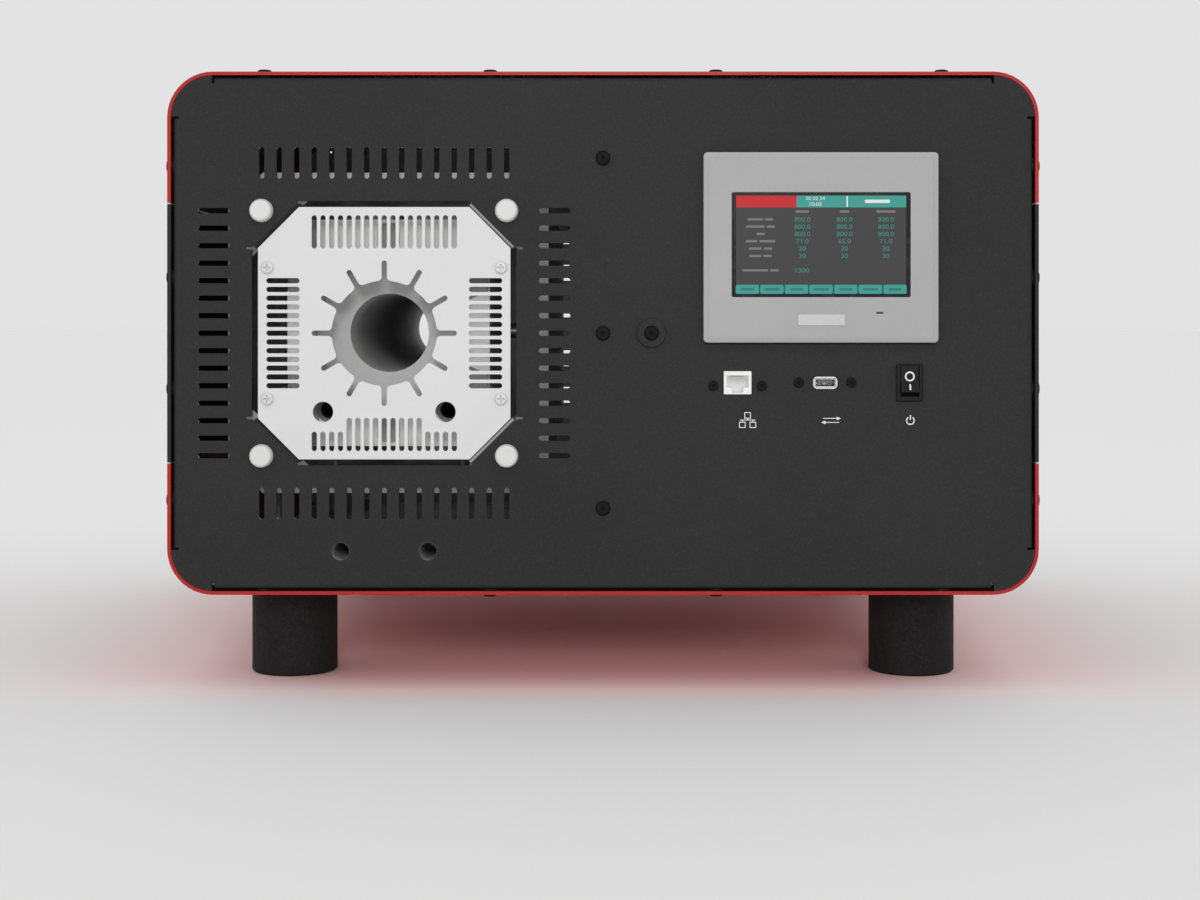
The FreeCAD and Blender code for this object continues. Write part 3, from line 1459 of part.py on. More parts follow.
def make_relays():
    base_z = floor_top_z + heat_sink_height
    half_width = heat_sink_width / 2
    half_length = heat_sink_length / 2
    fins = [block(heat_sink_x - half_width, heat_sink_x + half_width, heat_sink_y - half_length,
                  heat_sink_y + half_length, base_z - heat_sink_base, base_z)]
    count = int((heat_sink_width - heat_sink_fin) / heat_sink_fin_pitch) + 1
    for offset in spread(count, heat_sink_fin_pitch):
        x = heat_sink_x + offset
        fins.append(block(x - heat_sink_fin / 2, x + heat_sink_fin / 2, heat_sink_y - half_length,
                          heat_sink_y + half_length, floor_top_z, base_z - heat_sink_base))
    save("relay_heat_sink", merged(fins))
    relays = []
    for offset in spread(relay_count, relay_width + 6):
        x = heat_sink_x + offset
        relay = block(x - relay_width / 2, x + relay_width / 2, heat_sink_y - relay_length / 2,
                      heat_sink_y + relay_length / 2, base_z, base_z + relay_height)
        terminals = []
        for side in (-1, 1):
            y0, y1 = sorted((heat_sink_y + side * (relay_length / 2 + 1), heat_sink_y + side * (relay_length / 2 - 10)))
            terminals.append(block(x - relay_width / 2 + 3, x + relay_width / 2 - 3, y0, y1, base_z + 12,
                                   base_z + relay_height + 1))
        relays.append(cut_from(relay, terminals))
    save("solid_state_relays", group(relays))


def make_power_supply():
    x0 = supply_x - supply_width / 2
    y0 = supply_y - supply_length / 2
    case = block(x0, x0 + supply_width, y0, y0 + supply_length, floor_top_z, floor_top_z + supply_height)
    terminal_recess = block(x0 + 4, x0 + supply_width - 4, y0 - 1, y0 + 14, floor_top_z + 14,
                            floor_top_z + supply_height + 1)
    save("power_supply", cut_from(case, [terminal_recess]))


def make_control_modules():
    web_x = divider_web_x + divider_thickness
    z = case_centre_z + rail_z
    half = rail_height / 2
    rail_face = web_x + rail_depth
    rail = merged([
        block(web_x, web_x + rail_thickness, -rail_length / 2, rail_length / 2, z - half + 5, z + half - 5),
        block(web_x, rail_face, -rail_length / 2, rail_length / 2, z + half - 6, z + half - 5),
        block(web_x, rail_face, -rail_length / 2, rail_length / 2, z - half + 5, z - half + 6),
        block(rail_face - rail_thickness, rail_face, -rail_length / 2, rail_length / 2, z + half - 6, z + half),
        block(rail_face - rail_thickness, rail_face, -rail_length / 2, rail_length / 2, z - half, z - half + 6),
    ])
    save("din_rail", rail)
    modules = []
    for y in spread(module_count, module_spacing):
        body = block(rail_face, rail_face + module_depth, y - module_length / 2, y + module_length / 2,
                     z - module_height / 2, z + module_height / 2)
        shoulders = [block(rail_face + module_depth * 0.6, rail_face + module_depth + 1, y - module_length,
                           y + module_length, z + module_height * 0.3, z + module_height),
                     block(rail_face + module_depth * 0.6, rail_face + module_depth + 1, y - module_length,
                           y + module_length, z - module_height, z - module_height * 0.3)]
        modules.append(cut_from(body, shoulders))
    save("control_modules", group(modules))


def save(name, shape):
    if not shape.isValid():
        print("not valid:", name)
    if any(solid.Volume <= 0 for solid in shape.Solids) or not shape.Solids:
        print("no volume:", name)
    shape.exportStep(os.path.join("parts", name + ".step"))


def main():
    os.makedirs("parts", exist_ok=True)
    make_covers()
    make_cover_screws()
    make_feet()
    make_front_panel()
    make_rear_panel()
    make_chassis_floor()
    make_divider()
    make_panel_screws()
    make_boss()
    make_rod_sockets()
    make_shroud()
    make_shroud_frames()
    make_tie_rods()
    make_corner_caps()
    make_end_plates()
    make_end_plate_brackets()
    make_core_casing()
    make_heaters()
    make_insulation()
    make_end_boards()
    make_clamp_pads()
    make_end_rings_and_tube()
    make_probes()
    make_stands()
    make_display()
    make_network_jack()
    make_data_port()
    make_port_screws()
    make_switch()
    make_mains_inlet()
    make_fuse_drawer()
    make_contact_blades()
    make_fan_frame()
    make_fan_rotor()
    make_fan_guard()
    make_relays()
    make_power_supply()
    make_control_modules()


main()
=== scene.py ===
import math
import bpy
import bmesh
from mathutils import Matrix, Vector


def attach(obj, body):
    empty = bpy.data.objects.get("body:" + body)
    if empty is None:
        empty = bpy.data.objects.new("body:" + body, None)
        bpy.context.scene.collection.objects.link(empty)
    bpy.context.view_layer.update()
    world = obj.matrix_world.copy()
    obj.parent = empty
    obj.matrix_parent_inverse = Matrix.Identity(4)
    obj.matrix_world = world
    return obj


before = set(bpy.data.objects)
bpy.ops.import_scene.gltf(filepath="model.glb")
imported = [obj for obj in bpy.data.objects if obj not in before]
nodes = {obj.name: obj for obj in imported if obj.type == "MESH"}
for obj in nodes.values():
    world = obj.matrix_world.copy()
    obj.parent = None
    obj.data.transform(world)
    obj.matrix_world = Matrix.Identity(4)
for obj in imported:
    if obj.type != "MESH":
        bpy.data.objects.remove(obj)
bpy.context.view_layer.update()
print("frame loaded,", len(nodes), "nodes")

# the case as the CAD holds it, in millimetres
caseShape = {"frontY": -242.5, "centreZ": 203.5, "furnaceX": -125.0, "half": (249.0, 242.5, 149.5)}


def mm(*values):
    return tuple(value / 1000 for value in values)


furnaceAxis = mm(caseShape["furnaceX"], 0.0, caseShape["centreZ"])


def tone(shade):
    # a colour as picked on screen (0 to 255, one number for a grey), made linear for the shader
    linear = []
    for value in shade if isinstance(shade, tuple) else (shade,) * 3:
        share = value / 255
        linear.append(share / 12.92 if share <= 0.04045 else ((share + 0.055) / 1.055) ** 2.4)
    return tuple(linear) + (1.0,)


# camera, lamps, floor

cameraView = {"lens": 58.5, "sensor": 36.0, "place": (0.0, -1.3565, 0.2139), "shift": (-0.0025, -0.1125),
              "tilt": 90, "clip": (0.05, 60.0)}


def makeCamera(view):
    data = bpy.data.cameras.new("frontCamera")
    data.lens = view["lens"]
    data.sensor_width = view["sensor"]
    data.shift_x, data.shift_y = view["shift"]
    data.clip_start, data.clip_end = view["clip"]
    camera = bpy.data.objects.new("frontCamera", data)
    camera.location = view["place"]
    camera.rotation_euler = (math.radians(view["tilt"]), 0, 0)
    bpy.context.scene.collection.objects.link(camera)
    bpy.context.scene.camera = camera


makeCamera(cameraView)
print("camera set")


# shader helpers

def addNode(tree, kind, **settings):
    node = tree.nodes.new(kind)
    for name, value in settings.items():
        setattr(node, name, value)
    return node


def feed(tree, value, socket):
    # a socket takes a wire from another socket, or a plain number
    if isinstance(value, bpy.types.NodeSocket):
        tree.links.new(value, socket)
    else:
        socket.default_value = value


def maths(tree, operation, first, second=0.0, clamp=False):
    node = addNode(tree, "ShaderNodeMath", operation=operation, use_clamp=clamp)
    feed(tree, first, node.inputs[0])
    feed(tree, second, node.inputs[1])
    return node.outputs[0]


def spanned(tree, value, low, high, outLow=0.0, outHigh=1.0):
    node = addNode(tree, "ShaderNodeMapRange", clamp=True)
    for name, amount in (("Value", value), ("From Min", low), ("From Max", high),
                         ("To Min", outLow), ("To Max", outHigh)):
        feed(tree, amount, node.inputs[name])
    return node.outputs["Result"]


def blended(tree, mask, first, second):
    node = addNode(tree, "ShaderNodeMix", data_type="RGBA")
    feed(tree, mask, node.inputs[0])
    feed(tree, first, node.inputs[6])
    feed(tree, second, node.inputs[7])
    return node.outputs[2]


def objectPlace(tree):
    return addNode(tree, "ShaderNodeTexCoord").outputs["Object"]


def faceNormal(tree):
    return addNode(tree, "ShaderNodeNewGeometry").outputs["Normal"]


def vectorMaths(tree, operation, first, second=(0.0, 0.0, 0.0)):
    node = addNode(tree, "ShaderNodeVectorMath", operation=operation)
    feed(tree, first, node.inputs[0])
    feed(tree, second, node.inputs[1])
    return node.outputs["Value" if operation in ("DOT_PRODUCT", "LENGTH") else "Vector"]


def splitUp(tree, vector):
    node = addNode(tree, "ShaderNodeSeparateXYZ")
    tree.links.new(vector, node.inputs[0])
    return node.outputs


def noiseAt(tree, scale, detail=3.0, roughness=0.55, vector=None):
    node = addNode(tree, "ShaderNodeTexNoise")
    feed(tree, scale, node.inputs["Scale"])
    node.inputs["Detail"].default_value = detail
    node.inputs["Roughness"].default_value = roughness
    if vector is None:
        vector = objectPlace(tree)
    tree.links.new(vector, node.inputs["Vector"])
    return node.outputs[0]


def newGroup(name, inputs, outputs):
    # outputs whose name ends in Normal are vectors, all others plain numbers
    group = bpy.data.node_groups.new(name, "ShaderNodeTree")
    for label, value in inputs.items():
        kind = "NodeSocketVector" if isinstance(value, tuple) else "NodeSocketFloat"
        group.interface.new_socket(name=label, in_out="INPUT", socket_type=kind).default_value = value
    for label in outputs:
        kind = "NodeSocketVector" if label.endswith("Normal") else "NodeSocketFloat"
        group.interface.new_socket(name=label, in_out="OUTPUT", socket_type=kind)
    given = group.nodes.new("NodeGroupInput")
    wanted = group.nodes.new("NodeGroupOutput")
    return group, given.outputs, wanted.inputs


def useGroup(tree, group, **values):
    node = addNode(tree, "ShaderNodeGroup", node_tree=group)
    for label, value in values.items():
        feed(tree, value, node.inputs[label])
    return node.outputs


# effects shared by the finishes

def makeFineGrain():
    # sprayed or moulded skin: small bumps on slow waves
    group, given, wanted = newGroup("fineGrain", {"Scale": 900.0, "Waviness": 0.35}, ["Height", "Speckle"])
    small = noiseAt(group, given["Scale"], 3.0, 0.6)
    slow = noiseAt(group, maths(group, "MULTIPLY", given["Scale"], 0.16), 1.0, 0.4)
    waves = maths(group, "MULTIPLY", slow, given["Waviness"])
    feed(group, maths(group, "ADD", waves, maths(group, "MULTIPLY", small, 0.65)), wanted["Height"])
    feed(group, spanned(group, small, 0.5, 0.72), wanted["Speckle"])
    return group


def makeEdgeFinish():
    # rounds sharp edges to the eye, and finds the rubbed parts of them
    given = {"Round": 0.0004, "Wear Width": 0.0006, "Patch Scale": 90.0, "Cover": 0.5}
    group, given, wanted = newGroup("edgeFinish", given, ["Normal", "Wear"])
    bevels = []
    for width in ("Round", "Wear Width"):
        bevel = addNode(group, "ShaderNodeBevel", samples=4)
        feed(group, given[width], bevel.inputs["Radius"])
        bevels.append(bevel.outputs[0])
    feed(group, bevels[0], wanted["Normal"])
    edge = spanned(group, vectorMaths(group, "DOT_PRODUCT", bevels[1], faceNormal(group)), 0.97, 0.8)
    cloud = noiseAt(group, given["Patch Scale"], 4.0, 0.65)
    patches = spanned(group, cloud, maths(group, "SUBTRACT", 1.0, given["Cover"]), 0.75)
    feed(group, maths(group, "MULTIPLY", edge, patches, True), wanted["Wear"])
    return group


def makeDustFall():
    # thin dust on faces that look up
    group, given, wanted = newGroup("dustFall", {"Amount": 0.2}, ["Mask"])
    upward = spanned(group, splitUp(group, faceNormal(group))["Z"], 0.4, 0.95)
    cloud = spanned(group, noiseAt(group, 14.0, 5.0, 0.65), 0.35, 0.75)
    settled = maths(group, "MULTIPLY", upward, cloud)
    feed(group, maths(group, "MULTIPLY", settled, given["Amount"], True), wanted["Mask"])
    return group


def makeBrushing():
    # long fine scratches in one direction
    group, given, wanted = newGroup("brushing", {"Stretch": (30.0, 2400.0, 2400.0)}, ["Height", "Streak"])
    stretched = vectorMaths(group, "MULTIPLY", objectPlace(group), given["Stretch"])
    lines = noiseAt(group, 1.0, 4.0, 0.7, stretched)
    feed(group, lines, wanted["Height"])
    feed(group, spanned(group, lines, 0.35, 0.7), wanted["Streak"])
    return group


def makeMottle():
    # slow uneven patches for colour and shine
    group, given, wanted = newGroup("mottle", {"Scale": 12.0}, ["Value", "Blotch"])
    cloud = noiseAt(group, given["Scale"], 5.0, 0.6)
    feed(group, spanned(group, cloud, 0.3, 0.7), wanted["Value"])
    blotch = noiseAt(group, maths(group, "MULTIPLY", given["Scale"], 3.7), 2.0, 0.5)
    feed(group, spanned(group, blotch, 0.52, 0.66), wanted["Blotch"])
    return group


def makeMouthLips():
    # masks round the furnace opening: the slanted lips on its right, for painted light, and the straight lips
    # on all sides, for painted shade
    group, given, wanted = newGroup("mouthLips", {"Reach": 0.079, "Depth": 0.02}, ["Slanted", "Straight"])
    place = splitUp(group, vectorMaths(group, "SUBTRACT", objectPlace(group), furnaceAxis))
    facing = splitUp(group, faceNormal(group))
    slant = maths(group, "ABSOLUTE", maths(group, "MULTIPLY", facing["X"], facing["Z"]))
    offAxis = [maths(group, "ABSOLUTE", place[axis]) for axis in ("X", "Z")]
    near = maths(group, "LESS_THAN", maths(group, "MAXIMUM", *offAxis), given["Reach"])
    right = maths(group, "MULTIPLY", near, maths(group, "GREATER_THAN", place["X"], 0.0))
    feed(group, maths(group, "MULTIPLY", spanned(group, slant, 0.01, 0.09), right), wanted["Slanted"])
    shares = [maths(group, "MULTIPLY", place[axis], facing[axis]) for axis in ("X", "Z")]
    outward = maths(group, "ADD", *shares)
    inward = maths(group, "LESS_THAN", maths(group, "ADD", outward, given["Depth"]), 0.0)
    straight = maths(group, "MULTIPLY", inward, maths(group, "LESS_THAN", slant, 0.05))
    feed(group, maths(group, "MULTIPLY", straight, near), wanted["Straight"])
    return group


def makeInwardFaces():
    # sheet faces that look towards the middle of the case
    group, given, wanted = newGroup("inwardFaces", {"Least": 0.93}, ["Mask"])
    spot = vectorMaths(group, "SUBTRACT", objectPlace(group), mm(0.0, 0.0, caseShape["centreZ"]))
    share = vectorMaths(group, "DIVIDE", spot, mm(*caseShape["half"]))
    turned = vectorMaths(group, "DOT_PRODUCT", share, faceNormal(group))
    feed(group, maths(group, "LESS_THAN", maths(group, "ADD", turned, given["Least"]), 0.0), wanted["Mask"])
    return group


fineGrain = makeFineGrain()
edgeFinish = makeEdgeFinish()
dustFall = makeDustFall()
brushing = makeBrushing()
mottle = makeMottle()
inwardFaces = makeInwardFaces()
mouthLips = makeMouthLips()
# strength of the painted glow on faces inside the case, standing in for the soft light that wanders in there
paintedInnerGlow = 0.009
dustTone = (176, 172, 166)
wornTone = (206, 204, 200)


def newMaterial(name, roughness=0.5, specular=0.5, metallic=0.0):
    material = bpy.data.materials.new(name)
    material.use_nodes = True
    tree = material.node_tree
    shader = tree.nodes["Principled BSDF"]
    shader.inputs["Roughness"].default_value = roughness
    shader.inputs["Specular IOR Level"].default_value = specular
    shader.inputs["Metallic"].default_value = metallic
    return material, tree, shader


def shaded(tree, shader, colour, shine=None):
    tree.links.new(colour, shader.inputs["Base Color"])
    if shine is not None:
        tree.links.new(shine, shader.inputs["Roughness"])


def bumped(tree, shader, height, strength, distance, under=None):
    node = addNode(tree, "ShaderNodeBump")
    node.inputs["Strength"].default_value = strength
    node.inputs["Distance"].default_value = distance
    tree.links.new(height, node.inputs["Height"])
    if under is not None:
        tree.links.new(under, node.inputs["Normal"])
    tree.links.new(node.outputs[0], shader.inputs["Normal"])


# painted light: a look with a glow value makes the part shine faintly, though it is no lamp
def addGlow(shader, look):
    if "glow" in look:
        shader.inputs["Emission Color"].default_value = (1.0, 1.0, 1.0, 1.0)
        shader.inputs["Emission Strength"].default_value = look["glow"]


def layered(tree, colour, *coats):
    # each coat is its mask, the strength of the mask and the colour that it brings
    for mask, strength, brought in coats:
        if strength != 1.0:
            mask = maths(tree, "MULTIPLY", mask, strength)
        colour = blended(tree, mask, colour, tone(brought))
    return colour


def edged(tree, roundness, width, cover):
    return useGroup(tree, edgeFinish, **{"Round": roundness, "Wear Width": width, "Cover": cover})


def paintedSheet(name, look):
    # powder paint over sheet steel, rubbed through a little at the edges
    material, tree, shader = newMaterial(name, look["roughness"], look["specular"])
    grain = useGroup(tree, fineGrain, Scale=look["grainScale"], Waviness=look["waviness"])
    edge = edged(tree, look["round"], look["wearWidth"], look["wearCover"])
    patch = useGroup(tree, mottle, Scale=look["patchScale"])
    dust = useGroup(tree, dustFall, Amount=look["dust"])
    colour = layered(tree, tone(look["deep"]), (patch["Value"], 1.0, look["colour"]),
                     (grain["Speckle"], look["speckle"], look["fleck"]), (dust["Mask"], 1.0, dustTone))
    bare = maths(tree, "MULTIPLY", edge["Wear"], look["wear"])
    if "cutAt" in look:
        # the sheared edge at each seam is left unpainted
        height = maths(tree, "SUBTRACT", splitUp(tree, objectPlace(tree))["Z"], caseShape["centreZ"] / 1000)
        off = maths(tree, "SUBTRACT", maths(tree, "ABSOLUTE", height), look["cutAt"] / 1000)
        cut = maths(tree, "LESS_THAN", maths(tree, "ABSOLUTE", off), look["cutWidth"] / 1000)
        bare = maths(tree, "MAXIMUM", bare, cut)
    colour = blended(tree, bare, colour, tone(look["bare"]))
    if "lips" in look:
        # painted light on the right slanted lips of the furnace opening, and painted shade, near black, on
        # its straight ones
        mouth = useGroup(tree, mouthLips)
        colour = layered(tree, colour, (mouth["Slanted"], 1.0, look["lips"]),
                         (mouth["Straight"], 1.0, look["throatShade"]))
    if "innerTintAndGlow" in look:
        # the faces that look into the case take a colour of their own and shine faintly with it: painted
        # light inside the case
        inward = useGroup(tree, inwardFaces)["Mask"]
        colour = blended(tree, inward, colour, tone(look["innerTintAndGlow"]))
        lit = blended(tree, inward, (0.0, 0.0, 0.0, 1.0), tone(look["innerTintAndGlow"]))
        tree.links.new(lit, shader.inputs["Emission Color"])
        shader.inputs["Emission Strength"].default_value = paintedInnerGlow
    shine = spanned(tree, patch["Value"], 0.0, 1.0, look["roughness"] + 0.05, look["roughness"] - 0.04)
    shine = maths(tree, "ADD", shine, maths(tree, "MULTIPLY", dust["Mask"], 0.3))
    shaded(tree, shader, colour, shine)
    bumped(tree, shader, grain["Height"], look["bump"], 0.00008, edge["Normal"])
    addGlow(shader, look)
    if "coat" in look:
        shader.inputs["Coat Weight"].default_value = look["coat"]
        shader.inputs["Coat Roughness"].default_value = 0.18
    return material


sheetBase = {"grainScale": 1000.0, "waviness": 0.3, "speckle": 0.2, "wearCover": 0.4, "wear": 0.3,
             "bump": 0.3, "specular": 0.3}
paintLooks = {
    "redPaint": {"colour": (172, 27, 31), "deep": (167, 25, 29), "fleck": (190, 58, 58),
                 "bare": (206, 204, 200), "roughness": 0.46, "specular": 0.25, "grainScale": 750.0,
                 "waviness": 0.5, "speckle": 0.12, "bump": 0.35, "round": 0.0005, "wearWidth": 0.0007,
                 "wearCover": 0.42, "wear": 0.35, "patchScale": 7.0, "dust": 0.05, "coat": 0.08,
                 # the covers are red inside too, given a darker red there as painted shade, which also sets
                 # the colour of their painted glow
                 "cutAt": 74.3, "cutWidth": 0.2, "innerTintAndGlow": (92, 40, 36)},
    "darkPaint": {"colour": 38, "deep": 37, "fleck": (66, 66, 68), "bare": (126, 124, 120), "roughness": 0.62,
                  "specular": 0.2, "grainScale": 1100.0, "speckle": 0.3, "bump": 0.4, "round": 0.0004,
                  "wearWidth": 0.0005, "patchScale": 6.0, "dust": 0.06},
    "whitePaint": {"colour": 211, "deep": 208, "fleck": 217, "bare": (190, 188, 184), "roughness": 0.5,
                   "bump": 0.25, "round": 0.0003, "wearWidth": 0.0004, "wearCover": 0.35, "wear": 0.25,
                   "patchScale": 16.0, "dust": 0.05},
    # the shroud frames glow faintly: painted light
    "greyPaint": {"colour": (232, 232, 231), "deep": (226, 226, 225), "fleck": (238, 238, 237),
                  "bare": (190, 188, 184), "glow": 0.06, "roughness": 0.6, "grainScale": 900.0,
                  "round": 0.0003, "wearWidth": 0.0004, "wear": 0.4, "patchScale": 12.0, "dust": 0.1},
}
# the panels are bare inside, in a light grey made light to stand in for light inside the case, and carry
# painted light and shade round the furnace opening
paintLooks["linedAndLitPaint"] = dict(paintLooks["darkPaint"], innerTintAndGlow=176, lips=158, throatShade=5)


def machinedMetal(name, look):
    # bright or blackened metal with tool marks and finger marks
    material, tree, shader = newMaterial(name, look["roughness"], look["specular"], look["metallic"])
    marks = useGroup(tree, brushing, Stretch=look["stretch"])
    edge = edged(tree, 0.0002, 0.0004, look["wearCover"])
    patch = useGroup(tree, mottle, Scale=look["patchScale"])
    colour = layered(tree, tone(look["deep"]), (marks["Streak"], 1.0, look["colour"]),
                     (patch["Blotch"], look["stain"], look["stained"]),
                     (edge["Wear"], look["wear"], wornTone))
    shine = spanned(tree, patch["Value"], 0.0, 1.0, look["roughness"] + 0.08, look["roughness"] - 0.05)
    shine = maths(tree, "ADD", shine, maths(tree, "MULTIPLY", patch["Blotch"], 0.12))
    shaded(tree, shader, colour, shine)
    bumped(tree, shader, marks["Height"], look["bump"], 0.00003, edge["Normal"])
    return material


metalBase = {"stain": 0.3, "wearCover": 0.5, "wear": 0.3, "bump": 0.25, "specular": 0.5, "metallic": 1.0}
metalLooks = {
    "brightSteel": {"colour": (202, 202, 204), "deep": (178, 178, 182), "stained": (150, 146, 140),
                    "roughness": 0.3, "stretch": (1800.0, 60.0, 1800.0), "patchScale": 60.0},
    "blackSteel": {"colour": (21, 21, 22), "deep": (16, 16, 17), "stained": (28, 26, 25), "stain": 0.35,
                   "roughness": 0.5, "stretch": (900.0, 900.0, 120.0), "wearCover": 0.4, "wear": 0.06,
                   "patchScale": 160.0, "bump": 0.2, "metallic": 0.0, "specular": 0.1},
    "aluminium": {"colour": (196, 198, 200), "deep": (176, 178, 181), "stained": 150, "stain": 0.25,
                  "roughness": 0.4, "stretch": (40.0, 1600.0, 1600.0), "patchScale": 30.0, "bump": 0.3},
    "brightPlate": {"colour": 210, "deep": (200, 200, 201), "stained": (180, 179, 177), "stain": 0.2,
                    "roughness": 0.45, "stretch": (1500.0, 200.0, 1500.0), "wearCover": 0.4, "wear": 0.1,
                    "patchScale": 200.0, "bump": 0.1, "metallic": 0.2},
    "socketSteel": {"colour": (196, 196, 197), "deep": (176, 176, 178), "stained": (104, 102, 99),
                    "roughness": 0.42, "stretch": (1600.0, 90.0, 1600.0), "patchScale": 120.0,
                    "metallic": 0.3},
    "pocketSteel": {"colour": (126, 126, 127), "deep": (112, 112, 113), "stained": (96, 94, 91),
                    "roughness": 0.5, "stretch": (1600.0, 90.0, 1600.0), "wear": 0.2, "patchScale": 120.0,
                    "bump": 0.2, "metallic": 0.3},
    "contactGold": {"colour": (214, 178, 104), "deep": (192, 154, 84), "stained": (150, 122, 74),
                    "roughness": 0.26, "stretch": (2600.0, 80.0, 2600.0), "wear": 0.1, "patchScale": 240.0,
                    "bump": 0.15},
}


def zincedSheet(name, look):
    # galvanised sheet with its crystal pattern
    material, tree, shader = newMaterial(name, look["roughness"], 0.5, look["metallic"])
    cells = addNode(tree, "ShaderNodeTexVoronoi")
    cells.inputs["Scale"].default_value = look["cellScale"]
    tree.links.new(objectPlace(tree), cells.inputs["Vector"])
    grey = addNode(tree, "ShaderNodeRGBToBW")
    tree.links.new(cells.outputs["Color"], grey.inputs[0])
    grain = useGroup(tree, fineGrain, Scale=1400.0, Waviness=0.2)
    edge = edged(tree, 0.0003, 0.0005, 0.5)
    patch = useGroup(tree, mottle, Scale=9.0)
    colour = layered(tree, tone(look["deep"]), (grey.outputs[0], 1.0, look["colour"]),
                     (patch["Blotch"], 0.3, look["stained"]))
    shine = spanned(tree, grey.outputs[0], 0.0, 1.0, look["roughness"] + 0.12, look["roughness"] - 0.1)
    shaded(tree, shader, colour, shine)
    bumped(tree, shader, grain["Height"], 0.2, 0.00004, edge["Normal"])
    # painted light: the zinc glows faintly in its own colour, standing in for light inside the case
    tree.links.new(colour, shader.inputs["Emission Color"])
    shader.inputs["Emission Strength"].default_value = paintedInnerGlow
    return material


zincLook = {"colour": (174, 176, 178), "deep": (150, 153, 156), "stained": (132, 130, 126),
            "roughness": 0.46, "cellScale": 110.0, "metallic": 0.35}


def mouldedPart(name, look):
    # plastic or rubber from a textured mould
    material, tree, shader = newMaterial(name, look["roughness"], look["specular"])
    grain = useGroup(tree, fineGrain, Scale=look["grainScale"], Waviness=0.2)
    edge = edged(tree, look["round"], 0.0005, 0.5)
    patch = useGroup(tree, mottle, Scale=look["patchScale"])
    dust = useGroup(tree, dustFall, Amount=look["dust"])
    colour = layered(tree, tone(look["deep"]), (patch["Value"], 1.0, look["colour"]),
                     (grain["Speckle"], look["speckle"], look["fleck"]),
                     (edge["Wear"], look["wear"], look["fleck"]),
                     (dust["Mask"], 1.0, dustTone))
    shine = spanned(tree, grain["Speckle"], 0.0, 1.0, look["roughness"] + 0.05, look["roughness"] - 0.08)
    shine = maths(tree, "ADD", shine, maths(tree, "MULTIPLY", patch["Blotch"], 0.06))
    shaded(tree, shader, colour, shine)
    bumped(tree, shader, grain["Height"], look["bump"], 0.00006, edge["Normal"])
    addGlow(shader, look)
    return material


plasticBase = {"roughness": 0.5, "specular": 0.3, "grainScale": 1300.0, "round": 0.0003, "dust": 0.05,
               "speckle": 0.2, "wear": 0.2, "bump": 0.2}
plasticLooks = {
    "bezelPlastic": {"colour": 164, "deep": 160, "fleck": 172, "grainScale": 1500.0, "round": 0.0004,
                     "patchScale": 14.0, "dust": 0.1, "speckle": 0.35, "wear": 0.3, "bump": 0.35},
    "whitePlastic": {"colour": (210, 210, 209), "deep": (206, 206, 205), "fleck": 214, "roughness": 0.36,
                     "specular": 0.4, "grainScale": 1200.0, "round": 0.0004, "patchScale": 30.0,
                     "bump": 0.15},
    # the nylon glows faintly: painted light, as if light came through it
    "jackNylon": {"colour": (208, 208, 207), "deep": (203, 203, 202), "fleck": 216, "roughness": 0.4,
                  "specular": 0.35, "glow": 0.17, "grainScale": 1200.0, "patchScale": 30.0, "bump": 0.1},
    "tonguePlastic": {"colour": (118, 118, 119), "deep": (104, 104, 105), "fleck": 132, "patchScale": 60.0},
    "blackPlastic": {"colour": (26, 26, 27), "deep": (22, 22, 23), "fleck": (40, 40, 42), "roughness": 0.45,
                     "specular": 0.15, "round": 0.0004, "patchScale": 30.0, "speckle": 0.3, "wear": 0.15,
                     "bump": 0.25},
    "greyPlastic": {"colour": (160, 162, 163), "deep": (150, 152, 153), "fleck": (176, 178, 178),
                    "specular": 0.35, "round": 0.0004, "patchScale": 20.0, "dust": 0.1, "speckle": 0.3,
                    "wear": 0.3, "bump": 0.3},
    "rimGrey": {"colour": (80, 80, 81), "deep": (72, 72, 73), "fleck": 110, "round": 0.0002,
                "patchScale": 60.0},
    "footRubber": {"colour": (27, 27, 28), "deep": (23, 23, 24), "fleck": (58, 57, 56), "roughness": 0.72,
                   "specular": 0.22, "grainScale": 800.0, "round": 0.0008, "patchScale": 26.0, "dust": 0.3,
                   "speckle": 0.25, "wear": 0.45, "bump": 0.5},
}


def firedCeramic(name, look):
    # dry kiln-fired body, darkened by heat towards the bore
    material, tree, shader = newMaterial(name, 0.82, 0.2)
    grain = useGroup(tree, fineGrain, Scale=look["grainScale"], Waviness=0.5)
    edge = edged(tree, 0.0005, 0.0008, 0.55)
    patch = useGroup(tree, mottle, Scale=look["patchScale"])
    colour = layered(tree, tone(look["deep"]), (patch["Value"], 1.0, look["colour"]),
                     (grain["Speckle"], 0.4, look["fleck"]))
    if "scorch" in look:
        spot = vectorMaths(tree, "SUBTRACT", objectPlace(tree), furnaceAxis)
        reach = vectorMaths(tree, "LENGTH", vectorMaths(tree, "MULTIPLY", spot, (1.0, 0.0, 1.0)))
        near = spanned(tree, reach, *look["scorchReach"])
        colour = layered(tree, colour, (near, look["scorch"], look["scorched"]))
    colour = layered(tree, colour, (edge["Wear"], 0.4, look["fleck"]))
    shaded(tree, shader, colour)
    bumped(tree, shader, grain["Height"], 0.6, 0.00012, edge["Normal"])
    addGlow(shader, look)
    return material


ceramicLooks = {
    "ceramicBody": {"colour": 204, "deep": 197, "fleck": 211, "grainScale": 700.0, "patchScale": 30.0,
                    "scorch": 0.12, "scorchReach": (0.036, 0.0229), "scorched": (104, 98, 92)},
    "boardGrey": {"colour": (176, 176, 175), "deep": (166, 166, 165), "fleck": (188, 188, 187),
                  "grainScale": 420.0, "patchScale": 24.0},
    # the pads glow faintly: painted light
    "padBoard": {"colour": (246, 246, 245), "deep": (242, 242, 241), "fleck": (249, 249, 248),
                 "grainScale": 520.0, "patchScale": 40.0, "glow": 0.05},
}


